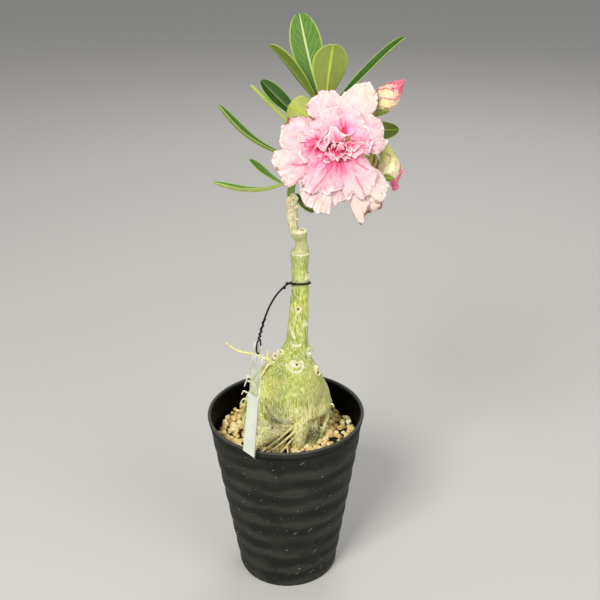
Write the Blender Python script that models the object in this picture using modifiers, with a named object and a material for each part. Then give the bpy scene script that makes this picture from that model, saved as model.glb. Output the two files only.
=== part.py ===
"""A potted desert rose: a grafted caudex plant with one ruffled double bloom, in a ribbed black pot.

Lengths are in metres and +Z is up. The origin is the middle of the pot's foot, on the surface that
the pot stands on, and the side that the bloom faces is -Y. Tables of points are written in
millimetres and brought to metres by MM.
"""

import math
import random

import bmesh
import bpy
import numpy as np
from mathutils.geometry import delaunay_2d_cdt

MM = 0.001
CLEARANCE = 0.3 * MM

# Pot: a thin, tapered plastic pot with shallow horizontal ribs
POT_RIM_RADIUS = 60 * MM
POT_FOOT_RADIUS = 38.9 * MM
POT_HEIGHT = 139.5 * MM
POT_WALL = 1.8 * MM
POT_FLOOR = 2.5 * MM
POT_LIP = 0.8 * MM
POT_SEGMENTS = 32
RIB_PITCH = 16.2 * MM
RIB_FIRST_GROOVE = 11 * MM
RIB_COUNT = 8
RIB_DEPTH = 0.9 * MM
FOOT_RECESS = 1.2 * MM
FOOT_RING = 7 * MM
FOOT_PAD_RADIUS = 13 * MM
DRAIN_COUNT = 6
DRAIN_RADIUS = 3.5 * MM
DRAIN_CIRCLE = 22 * MM
DRAIN_TURN = 0.3

# Gravel: fills the pot to just below the rim
GRAVEL_TOP = 120 * MM
GRAVEL_PITCH = 4.1 * MM
GRAVEL_RELIEF = 1.6 * MM
GRAVEL_ROWS = 20
GRAIN_TOP = (0.7, 1)
GRAIN_GAP = (-0.2, 0.15)
GRAIN_SHIFT = 0.22
GRAVEL_LEVEL = GRAVEL_TOP - 0.5 * GRAVEL_RELIEF
SOCKET_GAP = 0.55 * MM

# Trunk: (height, left edge, right edge) of the swollen base and the stem, in millimetres
TRUNK_EDGES = (
    (88, 1, 9),
    (97, -7, 14),
    (112, -11, 18),
    (120, -15, 22),
    (128, -21, 28.5),
    (136, -25.5, 33.5),
    (144, -27, 35.8),
    (153, -27.2, 33.8),
    (164, -26.2, 30.2),
    (175, -16.8, 25),
    (185, -8.8, 20),
    (192, -2.8, 18.1),
    (199, 0.3, 17.8),
    (215, 2.8, 17.7),
    (231, 4.5, 18.1),
    (247, 5.4, 18.4),
    (262, 5.4, 18.4),
    (269, 5.2, 18.5),
    (273.5, 6.9, 17.5),
    (279, 7.4, 17.1),
    (285, 4.9, 17.1),
    (287, 4.6, 17),
)
TRUNK_RINGS = 29
TRUNK_SIDES = 18
TRUNK_DEPTH = 0.96
STUB_SLANT = 1 * MM

# Roots as (x, y, z, radius) rows in millimetres. Those that enter the gravel are listed apart.
BURIED_ROOTS = {
    "left_front": ((8, -18, 141, 7), (-2, -20.5, 133, 8), (-13, -18, 125.5, 8), (-24, -11, 115, 7)),
    "middle": ((9.5, -18, 141, 7), (8.4, -20.5, 130.5, 6.2), (7.2, -18.4, 120, 5), (6.6, -15, 109, 4.5)),
    "right": ((32, -2, 151, 3), (32.8, -5, 138, 4), (28.5, -8, 126, 3.6), (22, -10, 112, 3)),
    "left_thin": ((-25, -3, 160, 1.8), (-31, -2, 147, 1.7), (-32.4, -1, 133, 1.6), (-31, 0, 112, 1.6)),
    "back_left": ((-8, 16, 142, 6.5), (-18, 20, 130, 6), (-27, 24, 118, 5), (-35, 27, 107, 4)),
    "back_right": ((18, 17, 142, 6.5), (26, 20, 130, 6), (34, 23, 119, 5), (41, 25, 108, 4)),
    "back": ((5, 20, 141, 6.5), (3, 27, 130, 5.6), (2, 33, 119, 4.6), (1, 38, 108, 4)),
}
FREE_ROOTS = {
    "aerial": ((-8, -6, 184, 1.3), (-14, -8, 188.6, 1.1), (-21.9, -8.5, 192.8, 1), (-27.4, -9, 194.4, 0.9),
               (-34.6, -9.5, 196.7, 0.8), (-40, -10, 201, 0.7), (-42.3, -10, 203.4, 0.6)),
    "aerial_nub": ((-11, -7.4, 184, 1.3), (-12.8, -8, 190, 1), (-12.8, -8, 195.2, 0.7)),
    "string_outer": ((4, -26, 131, 1), (-4, -29.5, 126, 0.9), (-12, -29, 123.6, 0.8), (-20, -27, 122.8, 0.7)),
    "string_inner": ((6, -25.5, 128, 1), (0, -30, 125, 0.9), (-7, -33.5, 123.2, 0.7)),
    "curl_upper": ((-24, -3, 165.5, 0.9), (-28.9, -3, 167.4, 0.8), (-30.9, -3, 163.1, 0.6)),
    "curl_lower": ((-27, -3, 150.5, 0.9), (-32, -3, 151.7, 0.8), (-34.8, -3, 147.4, 0.6)),
}
ROOT_STEPS = 6
THICK_SIDES = 8
SLIM_SIDES = 6
THIN_SIDES = 5
THIN_RADIUS = 2 * MM

# Callus knobs where roots and twigs were cut, as (x, y, z, radius) in millimetres
CALLUS_KNOBS = (
    (-3.2, -2, 192.2, 2.3),
    (-6.4, -2.5, 189.6, 2.2),
    (16.6, -2, 194, 2.6),
    (24, -3, 174.6, 2.4),
    (21.4, -6, 178, 2.2),
    (6, -9.6, 184, 2.1),
    (9.4, -9.4, 187.4, 2.1),
    (12.2, -10, 184, 2.1),
    (9, -11.4, 180.6, 2.2),
    (17.6, -3, 253.5, 1.3),
)

# Grafted twig above the stub, as (x, y, z, radius) rows in millimetres
TWIG = ((11, 0, 268, 4), (10.2, 0, 280, 4.6), (8.9, 0, 288, 4.4), (8, 0, 297, 3.9), (7.1, 0, 306, 3.7),
        (6.5, 0, 313, 3))
TWIG_STEPS = 12

# Leafy shoot, as (x, y, z, radius) rows in millimetres, from the twig's end to the rosette
SHOOT = ((6.4, 0, 313.4, 2.5), (6.4, 0, 317.5, 2.6), (9, 0.5, 327, 2.6), (14.5, 1, 341, 2.8),
         (21.5, 0, 355, 3), (27.4, -2, 366, 3.2), (29.4, -3, 371, 3.2))
SHOOT_STEPS = 12
LEAF_THICKNESS = 0.7 * MM
# Each leaf: place along the shoot, tip in millimetres, width in millimetres, the way its upper face
# looks, how far it bows towards that face as a share of its length, and its fold in degrees
LEAVES = (
    (0.95, (13.4, 20, 432), 22, (0.2, -1, 0.3), -0.06, 10),
    (0.97, (34, -17, 418), 23, (-0.1, 1, 0.4), 0.05, 6),
    (0.90, (-6.5, -4, 416), 15, (0.75, 0.6, 0.3), 0.04, 22),
    (0.96, (82, 0, 419), 15, (-0.66, -0.05, 0.75), -0.05, 45),
    (0.70, (-13, 20, 388), 13, (0.3, -0.8, 0.6), -0.03, 18),
    (0.62, (-20, 2, 389), 11, (0.75, 0.1, 0.7), -0.02, 50),
    (0.80, (8.5, -17, 386), 20, (0.35, 0.9, -0.1), 0.08, 8),
    (0.48, (-41.5, 0, 376), 13, (0.6, -0.2, 0.75), -0.13, 45),
    (0.20, (-22.5, 8, 336), 8, (0.1, -0.4, 0.9), -0.1, 42),
    (0.30, (-47.5, 0, 322.5), 12, (0.1, 0.05, 1), -0.13, 45),
    (0.14, (22, 6, 299), 13, (0.8, -0.3, 0.5), 0.2, 20),
    (0.34, (44, 9, 305), 14, (0.6, -0.5, 0.6), 0.12, 20),
    (0.74, (81.8, 16, 356), 15, (0.1, -0.4, 0.9), 0.05, 15),
    (0.50, (77.5, 15, 322), 13, (0.4, -0.4, 0.9), 0.1, 20),
    (0.88, (24, 55, 396), 18, (0, -0.5, 1), 0.06, 14),
    (0.60, (56, 46, 366), 17, (-0.1, -0.4, 1), 0.1, 14),
    (0.36, (14, 46, 350), 16, (0.1, -0.4, 1), 0.1, 14),
)
LEAF_ALONG = 7
LEAF_WIDEST = 0.64
LEAF_WAVE = 0.5 * MM

# Bloom: its throat, the way it faces, and the tube behind it
THROAT = (34.3, -33, 357)
BLOOM_FACES = (-0.04, -0.95, 0.31)
TUBE = ((35, -12.4, 351.5, 3), (35, -18, 353, 3.6), (34.6, -26, 355.6, 6), (34.3, -33, 357.2, 8),
        (34.3, -36, 358, 4))
TUBE_STEPS = 8
PETAL_THICKNESS = 0.8 * MM
POINT_FROM = 0.6
# Each petal of the outer two whorls: angle in degrees from the bloom's right, length and width in
# millimetres, rise of the tip towards the front, and how pointed it is
OUTER_PETALS = (
    (104, 37, 30, -3, 0.1),
    (69, 44, 27, -6, 0.15),
    (4, 35.5, 30, -2, 0.1),
    (-40, 46, 26, -5, 0.2),
    (-56, 50, 20, -8, 0.25),
    (-71, 54, 24, -4, 0.85),
    (-86, 40, 18, -6, 0.2),
    (-103, 46, 25, -2, 0.1),
    (-157, 42, 28, -3, 0.15),
    (159, 37, 28, -5, 0.1),
)
MIDDLE_PETALS = (
    (88, 27, 25, 5, 0.1),
    (146, 27, 22, 6, 0.1),
    (-160, 29, 22, 4, 0.1),
    (-118, 34, 24, 2, 0.15),
    (-62, 34, 26, 3, 0.15),
    (8, 28, 24, 5, 0.1),
)
# Petals of the inner two whorls: their number, with length, width and rise in millimetres
INNER_PETALS = (7, 16, 13, 8)
HEART_PETALS = (5, 8, 10, 10)
PETAL_SPREAD = 0.25
PETAL_ROOT = 2 * MM

# Flower stalks in millimetres: a peduncle on the shoot's front, and the way that each flower's
# pedicel takes from it, before the end that meets the flower's base square on
PEDUNCLE = ((27.4, -6.8, 365.2, 1.8), (28.6, -9, 365.9, 1.9), (32, -10.6, 366.6, 1.9), (36, -10.6, 366, 1.9))
PEDICELS = {
    "bloom": ((34, -10.6, 367, 1.7), (37.4, -8, 360, 1.7)),
    "bud_upper": ((34, -10.6, 366.5, 1.6), (45, -10.6, 365, 1.5)),
    "bud_front": ((35, -10.6, 366, 1.6), (51, -11.5, 364, 1.5)),
    "bud_rear": ((35, -10.6, 366, 1.6), (46, -7, 361.5, 1.5)),
}
PEDICEL_STEPS = 5
PEDICEL_SIDES = 6
PEDICEL_END = 2.6
PEDICEL_STRAIGHT = 5
# Buds: middle of the base, tip, greatest radius, and turns of the furled petals, in millimetres
BUDS = {
    "bud_upper": ((60.9, -10, 373.3), (79.5, -10.6, 392.5), 7.7, 0.35),
    "bud_front": ((68.3, -14.1, 352), (76, -16, 321.5), 6.6, 0.3),
    "bud_rear": ((58.5, -3, 347), (63, -2.5, 326.5), 4.6, 0.3),
}
BUD_LOBES = 5
BUD_SIDES = 15
BUD_RINGS = 9
SEPAL_COUNT = 5
SEPAL_LENGTH = 0.3
SEPAL_THICKNESS = 0.8 * MM
CALYX_DEPTH = 4.5 * MM
CALYX_GAP = 0.6 * MM

# Tie wire: a ring round the stem, a twisted tail and a loop through the tag's hole
WIRE_RADIUS = 0.7 * MM
STRAND_RADIUS = 0.6 * MM
RING_MIDDLE = (11.9 * MM, 0, 246.2 * MM)
RING_RADIUS = 7.6 * MM
WIRE_TAIL = ((4.2, -0.5, 246.2), (1, -5, 246.2), (-5, -14, 243.6), (-9.6, -23, 239.8), (-13, -31, 235),
             (-15.2, -37.5, 230.4), (-16.8, -41.8, 226.4))
WIRE_STEPS = 18
WIRE_SIDES = 6
TWIST_FROM = 0.62
TWIST_TURNS = 2.5
KNOT_BEADS = ((2.6, -3.4, 247.2), (0.4, -5.6, 245.2))
KNOT_RADIUS = 1.3 * MM
LOOP_ABOVE_TAG = 3.5 * MM
LOOP_DEPTH = 1.7 * MM

# Tag: a clear strip, turned with its right edge forward, and a blank white slip laid on it
TAG_TOP = ((-21.3, -40, 219.9), (-14.6, -50, 219.9))
TAG_FOOT = ((-30.5, -54.4, 140.2), (-22.6, -62.4, 139))
TAG_THICKNESS = 0.6 * MM
TAG_ROWS = 6
TAG_HOLE = 0.08
TAG_HOLE_RADIUS = 2.1 * MM
SLIP_FROM = 0.455


# Helpers

def clear_scene():
    """Remove what the file opened with."""
    for obj in list(bpy.data.objects):
        bpy.data.objects.remove(obj, do_unlink=True)


def new_collection(name, helper=False):
    """A collection of the scene. A helper collection holds cutters, which no render shows."""
    collection = bpy.data.collections.new(name)
    bpy.context.scene.collection.children.link(collection)
    collection.hide_render = helper
    return collection


def material(name, colour, roughness, alpha=1.0):
    """A Principled material of one colour."""
    made = bpy.data.materials.new(name)
    made.use_nodes = True
    shader = made.node_tree.nodes["Principled BSDF"]
    shader.inputs["Base Color"].default_value = (*colour, 1.0)
    shader.inputs["Roughness"].default_value = roughness
    shader.inputs["Alpha"].default_value = alpha
    return made


def smooth_rows(rows, count):
    """Rows at even steps along a Catmull-Rom curve through the given rows."""
    rows = np.array(rows, float)
    padded = np.vstack([2 * rows[0] - rows[1], rows, 2 * rows[-1] - rows[-2]])
    place = np.linspace(0, len(rows) - 1, count)
    whole = np.minimum(place.astype(int), len(rows) - 2)
    part = (place - whole)[:, None]
    before, start, end, after = (padded[whole + step] for step in range(4))
    return 0.5 * (
        2 * start
        + (end - before) * part
        + (2 * before - 5 * start + 4 * end - after) * part**2
        + (3 * start - before - 3 * end + after) * part**3
    )


def unit(vector):
    """The vector at length one."""
    vector = np.array(vector, float)
    return vector / np.linalg.norm(vector)


def square_to(vector, axis):
    """The part of a vector that is square to a unit axis, at length one."""
    return unit(np.array(vector, float) - np.dot(vector, axis) * axis)


def mesh_object(name, points, faces):
    """An object from points and faces, with its faces turned outwards."""
    mesh = bpy.data.meshes.new(name)
    mesh.from_pydata([tuple(point) for point in points], [], faces)
    shape = bmesh.new()
    shape.from_mesh(mesh)
    bmesh.ops.recalc_face_normals(shape, faces=shape.faces)
    shape.to_mesh(mesh)
    shape.free()
    return bpy.data.objects.new(name, mesh)


def baked(obj, name=None):
    """The object as a plain mesh: curves and modifiers applied, and the original removed."""
    if not obj.users_collection:
        bpy.context.scene.collection.objects.link(obj)
    bpy.context.view_layer.update()
    evaluated = obj.evaluated_get(bpy.context.evaluated_depsgraph_get())
    mesh = bpy.data.meshes.new_from_object(evaluated)
    mesh.transform(obj.matrix_world)
    name = name or obj.name
    bpy.data.objects.remove(obj, do_unlink=True)
    mesh.name = name
    return bpy.data.objects.new(name, mesh)


def lofted(name, rings):
    """A closed solid through rings of points, with a flat face at both ends."""
    count, sides = rings.shape[:2]
    faces = [tuple(range(sides))]
    for ring in range(count - 1):
        for side in range(sides):
            here, there = ring * sides, (ring + 1) * sides
            after = (side + 1) % sides
            faces.append((here + side, here + after, there + after, there + side))
    faces.append(tuple(range((count - 1) * sides, count * sides)))
    return mesh_object(name, rings.reshape(-1, 3), faces)


def tube(name, rows, sides, extra=0.0):
    """A round limb along (x, y, z, radius) rows: a bevelled curve with filled, welded ends."""
    curve = bpy.data.curves.new(name, "CURVE")
    curve.dimensions = "3D"
    curve.bevel_depth = 1.0
    curve.bevel_resolution = max((sides - 4) // 2, 0)
    curve.use_fill_caps = True
    spline = curve.splines.new("POLY")
    spline.points.add(len(rows) - 1)
    for point, (x, y, z, radius) in zip(spline.points, rows):
        point.co = (x, y, z, 1)
        point.radius = radius + extra
    made = baked(bpy.data.objects.new(name, curve))
    shape = bmesh.new()
    shape.from_mesh(made.data)
    bmesh.ops.remove_doubles(shape, verts=shape.verts, dist=0.01 * MM)
    bmesh.ops.recalc_face_normals(shape, faces=shape.faces)
    shape.to_mesh(made.data)
    shape.free()
    return made


def blade(name, grid, thickness):
    """A thin solid from a grid of points, triangulated first so that both faces are alike."""
    rows, columns = grid.shape[:2]
    faces = []
    for row in range(rows - 1):
        for column in range(columns - 1):
            corner = row * columns + column
            faces.append((corner, corner + 1, corner + columns + 1))
            faces.append((corner, corner + columns + 1, corner + columns))
    sheet = mesh_object(name, grid.reshape(-1, 3), faces)
    solidify = sheet.modifiers.new("thickness", "SOLIDIFY")
    solidify.thickness = thickness
    solidify.offset = 0
    return baked(sheet)


def ball(name, place, radius, detail=1):
    """A faceted ball."""
    bpy.ops.mesh.primitive_ico_sphere_add(subdivisions=detail, radius=radius, location=place)
    made = bpy.context.object
    made.name = name
    return baked(made)


def keep_main_body(mesh):
    """Drop loose scraps and sealed hollows that a union left, keeping the largest closed shell.

    Shells that only touch, along an edge that four faces share, count as apart.
    """
    shape = bmesh.new()
    shape.from_mesh(mesh)
    waiting = set(shape.faces)
    bodies = []
    while waiting:
        body, edge = set(), [waiting.pop()]
        while edge:
            face = edge.pop()
            body.add(face)
            joined = [line.link_faces for line in face.edges if len(line.link_faces) == 2]
            for neighbour in {other for pair in joined for other in pair}:
                if neighbour in waiting:
                    waiting.remove(neighbour)
                    edge.append(neighbour)
        bodies.append(body)
    main = max(bodies, key=lambda body: sum(face.calc_area() for face in body))
    loose = [face for body in bodies if body is not main for face in body]
    bmesh.ops.delete(shape, geom=loose, context="FACES")
    shape.to_mesh(mesh)
    shape.free()


def fused(name, pieces):
    """One body made by a Boolean union of the pieces, applied, with the pieces removed."""
    first, others = pieces[0], pieces[1:]
    helpers = new_collection(name + "_pieces")
    for piece in others:
        helpers.objects.link(piece)
    union = first.modifiers.new("union", "BOOLEAN")
    union.operation = "UNION"
    union.operand_type = "COLLECTION"
    union.collection = helpers
    made = baked(first, name)
    for piece in list(helpers.objects):
        bpy.data.objects.remove(piece, do_unlink=True)
    bpy.data.collections.remove(helpers)
    keep_main_body(made.data)
    return made


def cut(obj, cutter, cutters):
    """Take a cutter out of an object with a Boolean modifier that stays on it."""
    for collection in cutter.users_collection:
        collection.objects.unlink(cutter)
    cutters.objects.link(cutter)
    cutter.hide_render = True
    cutter.display_type = "WIRE"
    difference = obj.modifiers.new(cutter.name, "BOOLEAN")
    difference.operation = "DIFFERENCE"
    difference.object = cutter


def finish(obj, parts, surface, smooth=True):
    """Put a finished node in its collection with its material and shading."""
    parts.objects.link(obj)
    obj.data.materials.clear()
    obj.data.materials.append(surface)
    if smooth:
        obj.data.shade_smooth()
        obj.data.set_sharp_from_angle(angle=math.radians(40))


# Pot and gravel

def pot_outer(height):
    """The pot's outer radius at a height, without its ribs."""
    return POT_FOOT_RADIUS + (POT_RIM_RADIUS - POT_FOOT_RADIUS) * height / POT_HEIGHT


def pot_inner(height):
    """The pot's inner radius at a height."""
    return pot_outer(height) - POT_WALL - RIB_DEPTH / 2


def build_pot(cutters):
    """The thin shell: floor, plain inner wall, rounded lip, ribbed outside and recessed foot."""
    ribs = []
    for groove in reversed(range(RIB_COUNT)):
        height = RIB_FIRST_GROOVE + groove * RIB_PITCH
        for offset, depth in ((0.3, 0), (0, RIB_DEPTH), (-0.3, 0)):
            level = height + offset * RIB_PITCH
            ribs.append((pot_outer(level) - depth, level))
    lip = POT_LIP
    profile = [
        (0, POT_FLOOR),
        (pot_inner(POT_FLOOR), POT_FLOOR),
        (pot_inner(POT_HEIGHT - 2 * lip), POT_HEIGHT - 2 * lip),
        (pot_inner(POT_HEIGHT) + 0.4 * lip, POT_HEIGHT),
        (POT_RIM_RADIUS - 0.4 * lip, POT_HEIGHT),
        (POT_RIM_RADIUS, POT_HEIGHT - 0.6 * lip),
        (POT_RIM_RADIUS - 0.2 * lip, POT_HEIGHT - 2.6 * lip),
        *ribs,
        (POT_FOOT_RADIUS, 1.5 * MM),
        (POT_FOOT_RADIUS - 1 * MM, 0),
        (POT_FOOT_RADIUS - FOOT_RING, 0),
        (POT_FOOT_RADIUS - FOOT_RING - FOOT_RECESS, FOOT_RECESS),
        (FOOT_PAD_RADIUS + FOOT_RECESS, FOOT_RECESS),
        (FOOT_PAD_RADIUS, 0),
        (0, 0),
    ]
    mesh = bpy.data.meshes.new("pot")
    mesh.from_pydata([(radius, 0, height) for radius, height in profile],
                     [(i, i + 1) for i in range(len(profile) - 1)], [])
    pot = bpy.data.objects.new("pot", mesh)
    screw = pot.modifiers.new("turn", "SCREW")
    screw.steps = screw.render_steps = POT_SEGMENTS
    screw.use_merge_vertices = True
    screw.merge_threshold = 0.01 * MM
    for drain in range(DRAIN_COUNT):
        angle = 2 * math.pi * (drain + DRAIN_TURN) / DRAIN_COUNT
        bpy.ops.mesh.primitive_cylinder_add(
            vertices=10, radius=DRAIN_RADIUS, depth=4 * POT_FLOOR,
            location=(DRAIN_CIRCLE * math.cos(angle), DRAIN_CIRCLE * math.sin(angle), POT_FLOOR))
        cutter = bpy.context.object
        cutter.name = f"drain_cutter_{drain}"
        cut(pot, cutter, cutters)
    return pot


def gravel_points():
    """Top points of the gravel: a jittered triangular lattice where every third point is a grain."""
    draw = random.Random(7)
    reach = pot_inner(GRAVEL_LEVEL) - CLEARANCE
    step = GRAVEL_PITCH
    points = []
    shift = GRAIN_SHIFT * step
    for row in range(-GRAVEL_ROWS, GRAVEL_ROWS + 1):
        for column in range(-GRAVEL_ROWS, GRAVEL_ROWS + 1):
            x = step * (column + 0.5 * (row % 2))
            y = step * row * math.sqrt(3) / 2
            if math.hypot(x, y) > reach - 0.6 * step:
                continue
            half = (row - row % 2) // 2
            grain = (column - half - row + 2 * half * 2) % 3 == 0
            high = GRAVEL_RELIEF * draw.uniform(*(GRAIN_TOP if grain else GRAIN_GAP))
            points.append((x + draw.uniform(-shift, shift), y + draw.uniform(-shift, shift), high))
    for side in range(POT_SEGMENTS):
        angle = 2 * math.pi * side / POT_SEGMENTS
        points.append((reach * math.cos(angle), reach * math.sin(angle), 0))
    return points


def build_gravel(cutters):
    """Gravel and mix in one body that fills the pot, its top in grains, with a hole for the trunk."""
    points = gravel_points()
    flat, _, faces, *_ = delaunay_2d_cdt([point[:2] for point in points], [], [], 0, 1e-7)
    foot = POT_FLOOR + CLEARANCE
    foot_radius = pot_inner(foot) - CLEARANCE
    reach = pot_inner(GRAVEL_LEVEL) - CLEARANCE
    shape = bmesh.new()
    tops = [shape.verts.new((x, y, GRAVEL_LEVEL + point[2])) for (x, y), point in zip(flat, points)]
    for face in faces:
        shape.faces.new([tops[index] for index in face])
    rim = tops[-POT_SEGMENTS:]
    taper = foot_radius / reach
    low = [shape.verts.new((top.co.x * taper, top.co.y * taper, foot)) for top in rim]
    for side in range(POT_SEGMENTS):
        after = (side + 1) % POT_SEGMENTS
        shape.faces.new((rim[side], low[side], low[after], rim[after]))
    shape.faces.new(low)
    bmesh.ops.recalc_face_normals(shape, faces=shape.faces)
    mesh = bpy.data.meshes.new("gravel")
    shape.to_mesh(mesh)
    shape.free()
    gravel = bpy.data.objects.new("gravel", mesh)
    cut(gravel, fused("trunk_socket", buried_pieces(SOCKET_GAP)), cutters)
    return gravel


# Trunk

def trunk_rings(extra):
    """Rings of the swollen base and the stem, made larger all round by extra."""
    rows = smooth_rows(TRUNK_EDGES, TRUNK_RINGS) * MM
    turn = np.arange(TRUNK_SIDES) * 2 * np.pi / TRUNK_SIDES
    rings = np.empty((TRUNK_RINGS, TRUNK_SIDES, 3))
    height, left, right = (rows[:, column, None] for column in range(3))
    half = (right - left) / 2 + extra
    rings[..., 0] = (left + right) / 2 + half * np.cos(turn)
    rings[..., 1] = half * TRUNK_DEPTH * np.sin(turn)
    rings[..., 2] = height
    rings[0, :, 2] -= extra
    rings[-1, :, 2] += STUB_SLANT * np.cos(turn) * 0.5
    return rings


def limb(name, rows, sides, steps, extra=0.0):
    """A tube along a smooth curve through rows in millimetres, larger and longer by extra."""
    line = smooth_rows(rows, steps) * MM
    line[-1, :3] += extra * unit(line[-1, :3] - line[-2, :3])
    return tube(name, line, sides, extra)


def buried_pieces(extra):
    """The trunk's body and the roots that enter the gravel, made larger all round by extra."""
    pieces = [lofted("trunk_body", trunk_rings(extra))]
    for name, rows in BURIED_ROOTS.items():
        sides = THICK_SIDES if rows[0][3] * MM > THIN_RADIUS else SLIM_SIDES
        pieces.append(limb("root_" + name, rows, sides, ROOT_STEPS, extra))
    return pieces


def build_trunk():
    """The grown piece: swollen base, roots, stem, callus knobs, cut stub and grafted twig."""
    pieces = buried_pieces(0.0)
    for name, rows in FREE_ROOTS.items():
        pieces.append(limb("root_" + name, rows, THIN_SIDES, ROOT_STEPS))
    for number, (x, y, z, radius) in enumerate(CALLUS_KNOBS):
        pieces.append(ball(f"callus_{number}", (x * MM, y * MM, z * MM), radius * MM))
    pieces.append(limb("twig", TWIG, 10, TWIG_STEPS))
    return fused("trunk", pieces)


# Leaves and flowers

def leaf_width(along):
    """Share of the full width along a leaf: a short stalk, widest past the middle, a round tip."""
    rise = np.clip(along / LEAF_WIDEST, 0, 1)
    fall = np.clip((along - LEAF_WIDEST) / (1 - LEAF_WIDEST), 0, 1)
    body = 0.14 + 0.86 * rise * rise * (3 - 2 * rise)
    return np.maximum(body * np.sqrt(1 - fall**2), 0.07)


def leaf_grid(root, tip, width, face, bow, fold):
    """Points of one leaf: edge, midrib and edge at each step along a bowed spine."""
    length = np.linalg.norm(tip - root)
    along_axis = unit(tip - root)
    face = square_to(face, along_axis)
    side = np.cross(along_axis, face)
    along = 1 - (1 - np.linspace(0, 1, LEAF_ALONG)) ** 1.3
    spine = root + np.outer(along, tip - root) + np.outer(bow * length * 4 * along * (1 - along), face)
    half = 0.5 * width * leaf_width(along)
    fold = math.radians(fold)
    grid = np.empty((LEAF_ALONG, 3, 3))
    for column, edge in enumerate((-1, 0, 1)):
        wave = LEAF_WAVE * abs(edge) * np.sin(2.5 * np.pi * along + edge) * np.sin(np.pi * along)
        grid[:, column] = (spine + np.outer(edge * half * math.cos(fold), side)
                           + np.outer(abs(edge) * half * math.sin(fold) + wave, face))
    return grid


def build_shoot():
    """The green shoot with its leaves."""
    line = smooth_rows(SHOOT, SHOOT_STEPS) * MM
    pieces = [tube("shoot", line, 8)]
    steps = np.linspace(0, 1, SHOOT_STEPS)
    for number, (place, tip, width, face, bow, fold) in enumerate(LEAVES):
        root = np.array([np.interp(place, steps, line[:, axis]) for axis in range(3)])
        grid = leaf_grid(root, np.array(tip) * MM, width * MM, face, bow, fold)
        pieces.append(blade(f"leaf_{number}", grid, LEAF_THICKNESS))
    return fused("leafy_shoot", pieces)


def bloom_frame():
    """The bloom's right, up and forward directions."""
    forward = unit(BLOOM_FACES)
    up = square_to((0, 0, 1), forward)
    return np.cross(up, forward), up, forward


def petal_grid(angle, length, width, rise, point, shape, phase):
    """Points of one ruffled petal, spread from the throat at an angle round the bloom."""
    along_count, across_count, waves, ruffle, bowl = shape
    right, up, forward = bloom_frame()
    turn = math.radians(angle)
    outward = math.cos(turn) * right + math.sin(turn) * up
    sideways = -math.sin(turn) * right + math.cos(turn) * up
    along = np.linspace(0, 1, along_count)[:, None]
    across = np.linspace(-1, 1, across_count)[None, :]
    spread = 0.5 * width * (0.3 + 0.7 * np.sin(0.5 * np.pi * np.minimum(along / 0.7, 1)))
    spread = spread * (1 - point * np.maximum(along - POINT_FROM, 0) / (1 - POINT_FROM))
    reach = PETAL_ROOT + length * along * (1 - 0.16 * across**2 * along)
    ruffles = ruffle * along**1.6 * np.sin(waves * np.pi * across + phase + along)
    lift = rise * along + bowl * np.sin(np.pi * along) + ruffles
    throat = np.array(THROAT) * MM
    return (throat + reach[..., None] * outward + (spread * across)[..., None] * sideways
            + lift[..., None] * forward)


def scattered(whorl, draw):
    """A whorl of petals at even angles, each varied at random by PETAL_SPREAD."""
    count, *sizes = whorl
    petals = []
    for number in range(count):
        angle = 360 * (number + draw.uniform(-PETAL_SPREAD, PETAL_SPREAD)) / count
        varied = [size * draw.uniform(1 - PETAL_SPREAD, 1 + PETAL_SPREAD) for size in sizes]
        petals.append((angle, *varied, 0.1))
    return petals


def build_bloom():
    """The double flower: a solid tube with petals in four whorls."""
    pieces = [limb("corolla_tube", TUBE, 10, TUBE_STEPS)]
    draw = random.Random(11)
    whorls = (
        (OUTER_PETALS, (5, 7, 2, 2 * MM, 3 * MM), 0.0),
        (MIDDLE_PETALS, (4, 6, 1.6, 1.8 * MM, 3 * MM), 2 * MM),
        (scattered(INNER_PETALS, draw), (3, 5, 1.3, 1.6 * MM, 1.5 * MM), 3 * MM),
        (scattered(HEART_PETALS, draw), (3, 4, 1.2, 1.4 * MM, 0), 3 * MM),
    )
    forward = bloom_frame()[2]
    for whorl, (petals, shape, step) in enumerate(whorls):
        for number, (angle, length, width, rise, point) in enumerate(petals):
            grid = petal_grid(angle, length * MM - PETAL_ROOT, width * MM, rise * MM, point, shape,
                              draw.uniform(0, 2 * math.pi))
            grid += step * forward
            pieces.append(blade(f"petal_{whorl}_{number}", grid, PETAL_THICKNESS))
    return fused("bloom", pieces)


def bud_radius(share):
    """Radius of a bud along its length, as a share of its greatest radius."""
    return np.interp(share, (0, 0.12, 0.3, 0.5, 0.7, 0.86, 1), (0.4, 0.66, 0.93, 1, 0.82, 0.5, 0.16))


def bud_rings(base, tip, radius, turns, extra=0.0):
    """Rings of a bud whose furled petals wind round it in shallow lobes."""
    base, tip = np.array(base) * MM, np.array(tip) * MM
    axis = unit(tip - base)
    side = square_to((0, 1, 0), axis)
    other = np.cross(axis, side)
    share = np.linspace(0, 1, BUD_RINGS)[:, None]
    turn = np.arange(BUD_SIDES)[None, :] * 2 * np.pi / BUD_SIDES + 2 * np.pi * turns * share
    lobes = 1 + 0.07 * np.cos(BUD_LOBES * (turn - 4 * np.pi * turns * share))
    reach = radius * MM * bud_radius(share) * lobes + extra
    middle = base + share[..., None] * (tip - base)
    return middle + (reach * np.cos(turn))[..., None] * side + (reach * np.sin(turn))[..., None] * other


def flower_base(name):
    """Middle of a flower's base and the unit axis that it grows along, in millimetres."""
    base, tip = (TUBE[0][:3], TUBE[1][:3]) if name == "bloom" else BUDS[name][:2]
    return np.array(base, float), unit(np.array(tip, float) - np.array(base, float))


def flower_radius(name, share):
    """Outer radius of a flower at a share of its length, or of the bloom's tube, in metres."""
    if name == "bloom":
        return np.interp(share, (0, 0.4, 1), (TUBE[0][3], TUBE[1][3], TUBE[2][3])) * MM
    return BUDS[name][2] * 1.07 * bud_radius(share) * MM


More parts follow.
